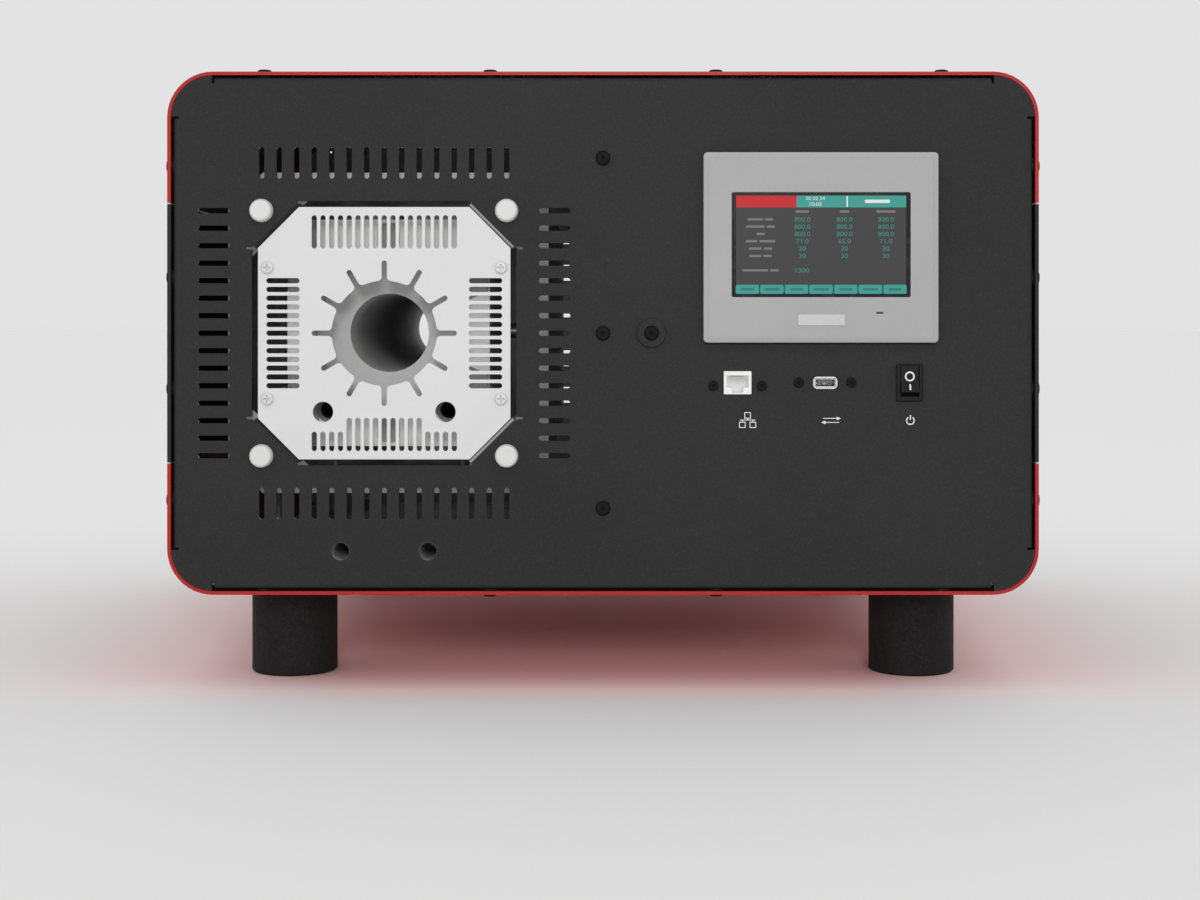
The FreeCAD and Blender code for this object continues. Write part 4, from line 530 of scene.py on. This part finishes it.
def fibreWool(name, look):
    # pressed white fibre with fine tangled strands
    material, tree, shader = newMaterial(name, look["roughness"], look["specular"])
    strands = useGroup(tree, brushing, Stretch=look["stretch"])
    grain = useGroup(tree, fineGrain, Scale=look["grainScale"], Waviness=look["waviness"])
    colour = blended(tree, strands["Streak"], tone(look["deep"]), tone(look["colour"]))
    shaded(tree, shader, colour)
    bumped(tree, shader, grain["Height"], 0.8, 0.0006)
    return material


woolLook = {"deep": (214, 210, 202), "colour": (236, 233, 226), "roughness": 0.95, "specular": 0.1,
            "stretch": (900.0, 260.0, 2200.0), "grainScale": 300.0, "waviness": 0.8}


def darkGlass(name, look):
    # black glass over the screen, with faint finger marks
    clean, marked = look["roughness"]
    material, tree, shader = newMaterial(name, clean, look["specular"])
    patch = useGroup(tree, mottle, Scale=look["patchScale"])
    shaded(tree, shader, blended(tree, patch["Blotch"], tone(look["deep"]), tone(look["colour"])),
           spanned(tree, patch["Blotch"], 0.0, 1.0, clean, marked))
    return material


glassLook = {"deep": (22, 22, 23), "colour": (27, 27, 28), "roughness": (0.22, 0.34), "specular": 0.2,
             "patchScale": 40.0}


def litPixels(name, colour):
    # a lit area of the screen, seen as fine rows and columns of dots
    material, tree, shader = newMaterial(name, 0.35, 0.12)
    place = splitUp(tree, objectPlace(tree))
    shares = []
    for axis in ("X", "Z"):
        wave = maths(tree, "SINE", maths(tree, "MULTIPLY", place[axis], 2 * math.pi / dotPitch))
        shares.append(spanned(tree, wave, -1.0, 1.0, 0.9, 1.06))
    scale = addNode(tree, "ShaderNodeVectorMath", operation="SCALE")
    scale.inputs[0].default_value = tone(colour)[:3]
    tree.links.new(maths(tree, "MULTIPLY", *shares), scale.inputs["Scale"])
    tree.links.new(scale.outputs[0], shader.inputs["Emission Color"])
    shader.inputs["Emission Strength"].default_value = 1.0
    shader.inputs["Base Color"].default_value = tone(10)
    return material


dotPitch = 0.00022
pixelLooks = {"screenGrey": 66, "screenTeal": (62, 156, 146), "screenRed": (196, 40, 48),
              "screenWhite": (224, 232, 230), "screenDigit": (54, 138, 126), "screenLabel": 120,
              "screenMark": (50, 122, 114)}


def printedInk(name, colour):
    # screen-printed ink, a little thin in places
    material, tree, shader = newMaterial(name, 0.6, 0.25)
    grain = useGroup(tree, fineGrain, Scale=1600.0, Waviness=0.3)
    shaded(tree, shader, layered(tree, tone(colour), (grain["Speckle"], 0.25, 150)))
    bumped(tree, shader, grain["Height"], 0.2, 0.00003)
    return material


inkLooks = {"whiteInk": 226, "plateFoil": 192, "grooveShade": (158, 159, 160)}


materials = {}
for name, look in paintLooks.items():
    materials[name] = paintedSheet(name, {**sheetBase, **look})
for name, look in metalLooks.items():
    materials[name] = machinedMetal(name, {**metalBase, **look})
for name, look in plasticLooks.items():
    materials[name] = mouldedPart(name, {**plasticBase, **look})
for name, look in ceramicLooks.items():
    materials[name] = firedCeramic(name, look)
for name, colour in pixelLooks.items():
    materials[name] = litPixels(name, colour)
for name, colour in inkLooks.items():
    materials[name] = printedInk(name, colour)
materials["zincSheet"] = zincedSheet("zincSheet", zincLook)
materials["fibreWool"] = fibreWool("fibreWool", woolLook)
materials["darkGlass"] = darkGlass("darkGlass", glassLook)
print("materials made:", len(materials))


# finishes of the solid parts

partFinish = {
    "redPaint": ["top_cover", "bottom_cover"],
    "darkPaint": ["accessory_boss", "side_panel_left", "side_panel_right"],
    "linedAndLitPaint": ["front_panel", "rear_panel"],
    "whitePaint": ["end_plate_front", "end_plate_rear"],
    "greyPaint": ["shroud_frames"],
    "blackSteel": ["cover_screws", "panel_screws", "port_screws"],
    "brightSteel": ["foot_bolts", "tie_rods", "rod_spacers", "control_probes", "data_shell", "fan_guard"],
    "brightPlate": ["end_plate_screws"],
    "socketSteel": ["rod_sockets"],
    "pocketSteel": ["probe_pockets"],
    "zincSheet": ["chassis_floor", "divider_panel", "shroud_lower", "shroud_upper", "furnace_stands",
                  "core_casing_lower", "core_casing_upper", "core_stands", "end_plate_brackets",
                  "din_rail"],
    "aluminium": ["relay_heat_sink", "power_supply"],
    "contactGold": ["contact_blades"],
    "footRubber": ["feet"],
    "whitePlastic": ["corner_caps", "data_surround"],
    "jackNylon": ["network_jack"],
    "bezelPlastic": ["hmi_bezel"],
    "blackPlastic": ["hmi_rear_case", "switch_body", "power_rocker", "mains_inlet", "fuse_drawer",
                     "fan_frame", "fan_rotor", "solid_state_relays"],
    "greyPlastic": ["control_modules"],
    "ceramicBody": ["end_rings", "work_tube", "heater_front", "heater_centre", "heater_rear"],
    "boardGrey": ["end_boards"],
    "padBoard": ["clamp_pads"],
    "fibreWool": ["insulation_lower", "insulation_upper"],
    "darkGlass": ["hmi_glass"],
}
for finish, parts in partFinish.items():
    for part in parts:
        for slot in nodes[part].material_slots:
            slot.material = materials[finish]
unfinished = set(nodes) - {part for parts in partFinish.values() for part in parts}
print("parts finished, left over:", sorted(unfinished))


# building small pieces

def addPrism(bm, outline, front, back, rim=0.0):
    # a flat plate from its outline (x, z), both faces square to Y, with a softened front edge
    nearCorners = [bm.verts.new(mm(x, front, z)) for x, z in outline]
    farCorners = [bm.verts.new(mm(x, back, z)) for x, z in outline]
    nearFace = bm.faces.new(nearCorners)
    bm.faces.new(farCorners[::-1])
    count = len(outline)
    for index in range(count):
        after = (index + 1) % count
        bm.faces.new((nearCorners[after], nearCorners[index], farCorners[index], farCorners[after]))
    if rim:
        bmesh.ops.bevel(bm, geom=list(nearFace.edges), offset=rim / 1000, segments=2, profile=0.5,
                        affect="EDGES")


def roundedBox(x, z, width, height, radius, steps=5):
    corners = []
    for turn, (sideX, sideZ) in enumerate(((1, 1), (-1, 1), (-1, -1), (1, -1))):
        for step in range(steps + 1):
            angle = math.radians(90 * turn + 90 * step / steps)
            corners.append((x + sideX * (width / 2 - radius) + radius * math.cos(angle),
                            z + sideZ * (height / 2 - radius) + radius * math.sin(angle)))
    return corners


def addRing(bm, x, z, outer, inner, front, back, start=0.0, sweep=360.0, steps=40, tall=1.0):
    # a flat ring or part of one, built from short wedges that share their corners
    closed = sweep >= 360.0
    count = steps if closed else steps + 1
    rows = []
    for step in range(count):
        angle = math.radians(start + sweep * step / steps)
        row = []
        for radius, y in ((outer, front), (inner, front), (inner, back), (outer, back)):
            row.append(bm.verts.new(mm(x + radius * math.cos(angle), y, z + tall * radius * math.sin(angle))))
        rows.append(row)
    for step in range(steps):
        first = rows[step]
        second = rows[(step + 1) % count]
        for side in range(4):
            after = (side + 1) % 4
            bm.faces.new((first[side], first[after], second[after], second[side]))
    if not closed:
        bm.faces.new(rows[0][::-1])
        bm.faces.new(rows[-1])


def addWire(bm, path, radius, sides=8):
    # a round wire along points in millimetres
    points = [Vector(mm(*place)) for place in path]
    rings = []
    normal = None
    for index, place in enumerate(points):
        ahead = points[min(index + 1, len(points) - 1)] - points[max(index - 1, 0)]
        ahead.normalize()
        if normal is None:
            guide = Vector((0, 0, 1)) if abs(ahead.z) < 0.9 else Vector((1, 0, 0))
            normal = ahead.cross(guide).normalized()
        normal = (normal - ahead * normal.dot(ahead)).normalized()
        side = ahead.cross(normal)
        ring = []
        for step in range(sides):
            angle = 2 * math.pi * step / sides
            out = normal * math.cos(angle) + side * math.sin(angle)
            ring.append(bm.verts.new(place + out * (radius / 1000)))
        rings.append(ring)
    for first, second in zip(rings, rings[1:]):
        for step in range(sides):
            after = (step + 1) % sides
            bm.faces.new((first[step], first[after], second[after], second[step]))
    bm.faces.new(rings[0][::-1])
    bm.faces.new(rings[-1])


def finishPiece(name, bm, finish, body="case", smooth=False):
    bmesh.ops.recalc_face_normals(bm, faces=bm.faces)
    mesh = bpy.data.meshes.new(name)
    bm.to_mesh(mesh)
    bm.free()
    if smooth:
        for face in mesh.polygons:
            face.use_smooth = True
    mesh.materials.append(materials[finish])
    piece = bpy.data.objects.new(name, mesh)
    bpy.context.scene.collection.objects.link(piece)
    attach(piece, body)
    return piece


def addNumerals(bm, entries, front, back):
    # plain numbers, each (text, x, z, height, width), cut from the built-in font
    for text, x, z, height, width in entries:
        curve = bpy.data.curves.new("numerals", "FONT")
        curve.body = text
        curve.align_x = "CENTER"
        curve.resolution_u = 3
        holder = bpy.data.objects.new("numerals", curve)
        bpy.context.scene.collection.objects.link(holder)
        flat = bpy.data.meshes.new_from_object(holder.evaluated_get(bpy.context.evaluated_depsgraph_get()))
        bpy.data.objects.remove(holder)
        xs = [vert.co.x for vert in flat.vertices]
        ys = [vert.co.y for vert in flat.vertices]
        scaleX = width / (max(xs) - min(xs))
        scaleZ = height / (max(ys) - min(ys))
        midX, midY = (max(xs) + min(xs)) / 2, (max(ys) + min(ys)) / 2
        for vert in flat.vertices:
            vert.co = Vector(mm(x + (vert.co.x - midX) * scaleX, front, z + (vert.co.y - midY) * scaleZ))
        known = set(bm.faces)
        bm.from_mesh(flat)
        fresh = [face for face in bm.faces if face not in known]
        made = bmesh.ops.extrude_face_region(bm, geom=fresh)
        moved = [part for part in made["geom"] if isinstance(part, bmesh.types.BMVert)]
        bmesh.ops.translate(bm, verts=moved, vec=mm(0, back - front, 0))
        bpy.data.meshes.remove(flat)


# display: lit screen, blank plate and lamp

screenPlan = {
    "centre": (124.1, 253.9), "width": 96.8, "height": 55.9, "glassY": -247.1, "layer": 0.06,
    "overlap": 0.01, "corner": 0.6,
    "headerTop": 27.95, "headerBottom": 21.2, "headerCorner": 0.2, "redLeft": -48.4, "redRight": -13.9,
    "divider": (14.4, 15.2), "dividerInset": 0.4, "dividerCorner": 0.1,
    "clock": (("10:05", -3.2, 23.1, 2.0, 6.8), ("02 02 24", -3.2, 26.4, 1.9, 10.6)),
    "button": (32.0, 24.7, 14.2, 1.9, 0.5),
    "columns": (-10.7, 13.3, 36.9), "headRow": 18.9, "headWidths": (7.5, 5.4, 11.0),
    "wordHeight": 1.3, "wordGap": 1.2, "wordCorner": 0.35,
    "labelX": -34.5, "rows": (14.4, 10.3, 6.1, 2.0, -2.2, -6.4, -14.6),
    "labels": ((8.6, 4.6), (10.6, 4.6), (4.6,), (6.6, 9.0), (7.2, 4.8), (6.8, 4.8), (14.6, 4.8)),
    "values": (("800.0",) * 3, ("800.0",) * 3, ("800.0",) * 3, ("71.0", "65.0", "71.0"),
               ("30",) * 3, ("30",) * 3, ("1300",)),
    "digitHeight": 2.5, "digitPitch": 1.95, "pointGain": 0.4,
    "tabs": 7, "tabPitch": 14.0, "tabWidth": 13.25, "tabTop": -22.8, "tabBottom": -27.95, "tabCorner": 0.9,
    "markWidths": (7.4, 8.6), "markHeight": 1.4, "markCorner": 0.4,
}


def makeScreen(plan):
    midX, midZ = plan["centre"]
    levels = [(plan["glassY"] - plan["layer"] * number,
               plan["glassY"] - plan["layer"] * (number - 1) + plan["overlap"]) for number in (1, 2, 3)]
    headZ = (plan["headerTop"] + plan["headerBottom"]) / 2
    headHeight = plan["headerTop"] - plan["headerBottom"]
    tabZ = (plan["tabTop"] + plan["tabBottom"]) / 2
    tabPlaces = [(index - (plan["tabs"] - 1) / 2) * plan["tabPitch"] for index in range(plan["tabs"])]

    def headPatch(left, right, height, corner):
        return (left + right) / 2, headZ, right - left, height, corner

    def drawLayer(name, finish, level, patches, numbers=()):
        # patches are (x, z, width, height, corner) and numbers (text, x, z, height, width)
        bm = bmesh.new()
        for x, z, *size in patches:
            addPrism(bm, roundedBox(midX + x, midZ + z, *size), *levels[level])
        addNumerals(bm, [(text, midX + x, midZ + z, *size) for text, x, z, *size in numbers], *levels[level])
        finishPiece(name, bm, finish)

    tabs = [(place, tabZ, plan["tabWidth"], plan["tabTop"] - plan["tabBottom"], plan["tabCorner"])
            for place in tabPlaces]
    marks = [(place, tabZ, plan["markWidths"][index % 2], plan["markHeight"], plan["markCorner"])
             for index, place in enumerate(tabPlaces)]
    divider = headPatch(*plan["divider"], headHeight - plan["dividerInset"], plan["dividerCorner"])
    words = [(place, plan["headRow"], width, plan["wordHeight"], plan["wordCorner"])
             for place, width in zip(plan["columns"], plan["headWidths"])]
    for rowZ, widths in zip(plan["rows"], plan["labels"]):
        cursor = plan["labelX"] - (sum(widths) + plan["wordGap"] * (len(widths) - 1)) / 2
        for width in widths:
            words.append((cursor + width / 2, rowZ, width, plan["wordHeight"], plan["wordCorner"]))
            cursor += width + plan["wordGap"]
    digits = []
    for rowZ, values in zip(plan["rows"], plan["values"]):
        for place, text in zip(plan["columns"], values):
            width = plan["digitPitch"] * (len(text) - plan["pointGain"] * text.count("."))
            digits.append((text, place, rowZ, plan["digitHeight"], width))

    drawLayer("screenField", "screenGrey", 0, [(0.0, 0.0, plan["width"], plan["height"], plan["corner"])])
    drawLayer("screenBlock", "screenRed", 1,
              [headPatch(plan["redLeft"], plan["redRight"], headHeight, plan["headerCorner"])])
    drawLayer("screenBands", "screenTeal", 1,
              [headPatch(plan["redRight"], plan["width"] / 2, headHeight, plan["headerCorner"])] + tabs)
    drawLayer("screenClock", "screenWhite", 2, [divider, plan["button"]], plan["clock"])
    drawLayer("screenLabels", "screenLabel", 2, words)
    drawLayer("screenDigits", "screenDigit", 2, [], digits)
    drawLayer("screenMarks", "screenMark", 2, marks)


makeScreen(screenPlan)
print("screen drawn")


trimPlan = {
    "face": -247.5,
    "plate": {"box": (124.2, 211.1, 26.6, 6.2, 0.6), "proud": 0.5, "sunk": 0.02, "rim": 0.2},
    "lamp": {"box": (157.4, 215.1, 4.1, 0.9, 0.4), "proud": 0.12, "sunk": 0.02, "rim": 0.05},
    "groove": {"outer": (124.1, 252.4, 128.0, 102.6, 1.2), "inner": (124.1, 252.4, 127.3, 101.9, 1.0),
               "proud": 0.03, "sunk": 0.05},
}


def addBand(bm, outer, inner, front, back):
    # a thin flat band between two outlines with the same number of corners
    rows = []
    for (outerX, outerZ), (innerX, innerZ) in zip(outer, inner):
        rows.append([bm.verts.new(mm(outerX, front, outerZ)), bm.verts.new(mm(innerX, front, innerZ)),
                     bm.verts.new(mm(innerX, back, innerZ)), bm.verts.new(mm(outerX, back, outerZ))])
    for index, first in enumerate(rows):
        second = rows[(index + 1) % len(rows)]
        for side in range(4):
            after = (side + 1) % 4
            bm.faces.new((first[side], first[after], second[after], second[side]))


def makeBezelTrim(plan):
    for part, name, finish, slotName in (("plate", "namePlate", "plateFoil", "bezel_plastic"),
                                         ("lamp", "lampSlot", "blackPlastic", "screen_glass")):
        size = plan[part]
        bm = bmesh.new()
        addPrism(bm, roundedBox(*size["box"]), plan["face"] - size["proud"], plan["face"] + size["sunk"],
                 size["rim"])
        finishPiece(name, bm, finish)
    # the groove is only a darker band laid on the bezel: painted shade of a step
    size = plan["groove"]
    bm = bmesh.new()
    addBand(bm, roundedBox(*size["outer"]), roundedBox(*size["inner"]), plan["face"] - size["proud"],
            plan["face"] + size["sunk"])
    finishPiece("bezelGroove", bm, "grooveShade")


makeBezelTrim(trimPlan)

# printed signs under the sockets, and the marks on the rocker

signPlan = {
    "faceY": caseShape["frontY"], "thick": 0.05, "sunk": 0.01, "line": 0.42,
    "network": {"centre": (82.6, 153.9), "top": (2.65, 3.7, 3.6), "foot": (3.0, -2.75, 3.7, 3.4),
                "bar": 4.4, "barLine": 0.4, "leg": (-1.05, -0.2), "riser": (0.2, 0.85)},
    "data": {"centre": (130.3, 153.7), "rise": 1.15, "tail": 4.6, "neck": 3.2, "tip": 5.6,
             "barb": (2.4, 1.0)},
    "power": {"centre": (175.6, 153.8), "drop": 0.2, "outer": 2.5, "inner": 1.85, "arc": (125.0, 290.0),
              "stem": (0.2, 2.9, 0.65)},
}


def addStroke(bm, start, finish, width, front, back):
    run = Vector((finish[0] - start[0], finish[1] - start[1]))
    across = Vector((-run.y, run.x)).normalized() * (width / 2)
    corners = [(start[0] + across.x, start[1] + across.y), (start[0] - across.x, start[1] - across.y),
               (finish[0] - across.x, finish[1] - across.y), (finish[0] + across.x, finish[1] + across.y)]
    addPrism(bm, corners, front, back)


def addFrame(bm, x, z, width, height, line, front, back):
    halfX, halfZ = width / 2, height / 2
    for side in (-1, 1):
        level = z + side * (halfZ - line / 2)
        addStroke(bm, (x - halfX, level), (x + halfX, level), line, front, back)
        upright = x + side * (halfX - line / 2)
        addStroke(bm, (upright, z - halfZ + line), (upright, z + halfZ - line), line, front, back)


def makeSigns(plan):
    front = plan["faceY"] - plan["thick"]
    back = plan["faceY"] + plan["sunk"]
    line = plan["line"]

    bm = bmesh.new()
    sign = plan["network"]
    x, z = sign["centre"]
    lift, width, height = sign["top"]
    addFrame(bm, x, z + lift, width, height, line, front, back)
    aside, drop, width, height = sign["foot"]
    low, high = sign["leg"]
    for side in (-1, 1):
        addFrame(bm, x + side * aside, z + drop, width, height, line, front, back)
        addStroke(bm, (x + side * aside, z + low), (x + side * aside, z + high), line, front, back)
    addStroke(bm, (x - sign["bar"], z), (x + sign["bar"], z), sign["barLine"], front, back)
    low, high = sign["riser"]
    addStroke(bm, (x, z + low), (x, z + high), line, front, back)
    finishPiece("networkSign", bm, "whiteInk")

    bm = bmesh.new()
    sign = plan["data"]
    x, z = sign["centre"]
    for side in (-1, 1):
        level = z + side * sign["rise"]
        addStroke(bm, (x - side * sign["tail"], level), (x + side * sign["neck"], level), line, front, back)
        tip = x + side * sign["tip"]
        barb = tip - side * sign["barb"][0]
        addPrism(bm, [(tip, level), (barb, level + sign["barb"][1]), (barb, level - sign["barb"][1])],
                 front, back)
    finishPiece("dataSign", bm, "whiteInk")

    bm = bmesh.new()
    sign = plan["power"]
    x, z = sign["centre"]
    low, high, stemLine = sign["stem"]
    addRing(bm, x, z - sign["drop"], sign["outer"], sign["inner"], front, back, *sign["arc"], 36)
    addStroke(bm, (x, z + low), (x, z + high), stemLine, front, back)
    finishPiece("powerSign", bm, "whiteInk")


makeSigns(signPlan)

rockerPlan = {"pivot": (175.1, -239.0, 176.2), "tilt": -12.0, "face": -6.2, "dip": 1.5, "half": 7.7,
              "proud": 0.06, "sunk": 0.1, "ring": (1.6, 2.8, 1.95), "bar": (-4.7, 0.88, 3.5)}


def makeRockerMarks(plan):
    # drawn flat on the level rocker, then tipped with it
    front, back = plan["face"] - plan["proud"], plan["face"] + plan["sunk"]
    height, outer, inner = plan["ring"]
    bm = bmesh.new()
    addRing(bm, 0, height, outer, inner, front, back)
    height, width, length = plan["bar"]
    addPrism(bm, roundedBox(0, height, width, length, 0.2), front, back)
    for vert in bm.verts:
        vert.co.y += plan["dip"] / 1000 - plan["dip"] / plan["half"] * abs(vert.co.z)
    turn = Matrix.Translation(mm(*plan["pivot"])) @ Matrix.Rotation(math.radians(plan["tilt"]), 4, "X")
    bmesh.ops.transform(bm, matrix=turn, verts=bm.verts)
    finishPiece("rockerMarks", bm, "whiteInk", "rocker")


makeRockerMarks(rockerPlan)
print("signs and marks drawn")

# inside the sockets

# each point of a wire is its depth behind the mouth and its drop below the roof
jackPlan = {"x": 76.9, "roof": 179.4, "mouthY": -243.1, "wires": 8, "pitch": 1.02, "radius": 0.18,
            "path": ((4.5, 0.2), (6.0, 0.3), (9.0, 0.7), (11.5, 1.0), (12.6, 1.05), (14.5, 0.95))}
tonguePlan = {"x": 126.9, "z": 175.2, "mouthY": -242.7, "depth": 18.7, "slab": (0.85, 9.4, 1.5, 0.3),
              "start": 1.4, "rim": 0.25, "contacts": 4, "pitch": 2.2, "radius": 0.3,
              "path": ((2.6, -0.1), (6.0, 0.05), (18.7, -0.1))}


def addRowOfWires(bm, x, z, mouthY, path, count, pitch, radius):
    for index in range(count):
        wireX = x + (index - (count - 1) / 2) * pitch
        addWire(bm, [(wireX, mouthY + deep, z - drop) for deep, drop in path], radius)


def makeContacts(jack, tongue):
    bm = bmesh.new()
    addRowOfWires(bm, jack["x"], jack["roof"], jack["mouthY"], jack["path"], jack["wires"], jack["pitch"],
                  jack["radius"])
    finishPiece("jackWires", bm, "contactGold", smooth=True)
    bm = bmesh.new()
    rise, width, height, corner = tongue["slab"]
    addPrism(bm, roundedBox(tongue["x"], tongue["z"] + rise, width, height, corner),
             tongue["mouthY"] + tongue["start"], tongue["mouthY"] + tongue["depth"], tongue["rim"])
    finishPiece("dataTongue", bm, "tonguePlastic")
    bm = bmesh.new()
    addRowOfWires(bm, tongue["x"], tongue["z"], tongue["mouthY"], tongue["path"], tongue["contacts"],
                  tongue["pitch"], tongue["radius"])
    finishPiece("dataContacts", bm, "contactGold", smooth=True)


makeContacts(jackPlan, tonguePlan)
print("contacts laid")

# turned rims of the two rod sockets

# each point of the profile is its distance outside the bore and its depth behind the panel's face
rimPlan = {"places": (-150.0, -100.0), "z": 78.8, "bore": 4.98, "face": caseShape["frontY"], "steps": 48,
           "profile": ((0.28, 0.0), (0.16, -0.08), (0.05, -0.06), (0.0, 0.5), (0.02, 1.4))}


def makeRims(plan):
    bm = bmesh.new()
    for x in plan["places"]:
        rows = []
        for step in range(plan["steps"]):
            angle = 2 * math.pi * step / plan["steps"]
            row = []
            for out, deep in plan["profile"]:
                radius = plan["bore"] + out
                row.append(bm.verts.new(mm(x + radius * math.cos(angle), plan["face"] + deep,
                                           plan["z"] + radius * math.sin(angle))))
            rows.append(row)
        for first, second in zip(rows, rows[1:] + rows[:1]):
            for side in range(len(first) - 1):
                bm.faces.new((first[side], first[side + 1], second[side + 1], second[side]))
    finishPiece("socketRims", bm, "rimGrey", smooth=True)


makeRims(rimPlan)


# floor, sky and lamps

# painted red bounce light and shadow on the paper beneath the red shell, beside it (aside), behind it and
# just ahead of it
stagePlan = {"near": 222, "far": 231, "fleck": 218, "speckle": 0.06, "turnY": 0.75, "sweep": (0.1, 1.35),
             "paintedBounceTint": (0.92, 0.62, 0.62, 1.0), "aside": (0.14, 0.36), "behind": (0.12, 0.42),
             "ahead": (-0.285, -0.2), "sky": 227, "skyLight": 0.95, "reach": 30.0, "drop": 0.0004}
lampPlan = {"power": 2.8, "place": (0.12, -3.2, 1.06), "aim": (-0.05, 0, 0.2), "size": 0.6, "spread": 60}


def makeFloor(plan):
    bm = bmesh.new()
    bmesh.ops.create_grid(bm, x_segments=2, y_segments=2, size=plan["reach"])
    mesh = bpy.data.meshes.new("floor")
    bm.to_mesh(mesh)
    bm.free()
    material, tree, shader = newMaterial("floorPaper", 0.75, 0.1)
    grain = useGroup(tree, fineGrain, Scale=160.0, Waviness=0.3)
    place = splitUp(tree, objectPlace(tree))
    # painted shade: the paper is darker close in front of the case (near) and lighter far from it (far)
    away = maths(tree, "ABSOLUTE", maths(tree, "ADD", place["Y"], plan["turnY"]))
    sweep = spanned(tree, away, *plan["sweep"])
    paper = blended(tree, sweep, tone(plan["near"]), tone(plan["far"]))
    paper = layered(tree, paper, (grain["Speckle"], plan["speckle"], plan["fleck"]))
    aside = spanned(tree, maths(tree, "ABSOLUTE", place["X"]), *plan["aside"], 1.0, 0.0)
    behind = spanned(tree, place["Y"], *plan["behind"], 1.0, 0.0)
    ahead = spanned(tree, place["Y"], *plan["ahead"])
    near = maths(tree, "MULTIPLY", maths(tree, "MULTIPLY", aside, behind), ahead)
    # the pink tint close round the case is painted bounce light and shadow
    shaded(tree, shader, blended(tree, near, paper, plan["paintedBounceTint"]))
    mesh.materials.append(material)
    floor = bpy.data.objects.new("floor", mesh)
    floor.location = (0, 0, -plan["drop"])
    bpy.context.scene.collection.objects.link(floor)


def makeSky(plan):
    world = bpy.data.worlds.new("paleRoom")
    bpy.context.scene.world = world
    world.use_nodes = True
    tree = world.node_tree
    tree.nodes.clear()
    seen = addNode(tree, "ShaderNodeBackground")
    seen.inputs["Color"].default_value = tone(plan["sky"])
    lighting = addNode(tree, "ShaderNodeBackground")
    lighting.inputs["Color"].default_value = (1.0, 1.0, 1.0, 1.0)
    lighting.inputs["Strength"].default_value = plan["skyLight"]
    path = addNode(tree, "ShaderNodeLightPath")
    shown = maths(tree, "MAXIMUM", path.outputs["Is Camera Ray"], path.outputs["Is Glossy Ray"])
    shown = maths(tree, "MAXIMUM", shown, path.outputs["Is Transmission Ray"])
    mix = addNode(tree, "ShaderNodeMixShader")
    for index, source in enumerate((shown, lighting.outputs[0], seen.outputs[0])):
        tree.links.new(source, mix.inputs[index])
    out = addNode(tree, "ShaderNodeOutputWorld")
    tree.links.new(mix.outputs[0], out.inputs["Surface"])


def makeLamp(plan):
    data = bpy.data.lights.new("frontFill", "AREA")
    data.energy = plan["power"]
    data.shape = "SQUARE"
    data.size = plan["size"]
    data.spread = math.radians(plan["spread"])
    lamp = bpy.data.objects.new("frontFill", data)
    lamp.location = plan["place"]
    aim = Vector(plan["aim"]) - lamp.location
    lamp.rotation_euler = aim.to_track_quat("-Z", "Y").to_euler()
    bpy.context.scene.collection.objects.link(lamp)


makeFloor(stagePlan)
makeSky(stagePlan)
makeLamp(lampPlan)
bpy.context.scene.view_settings.view_transform = "Standard"
print("stage set")
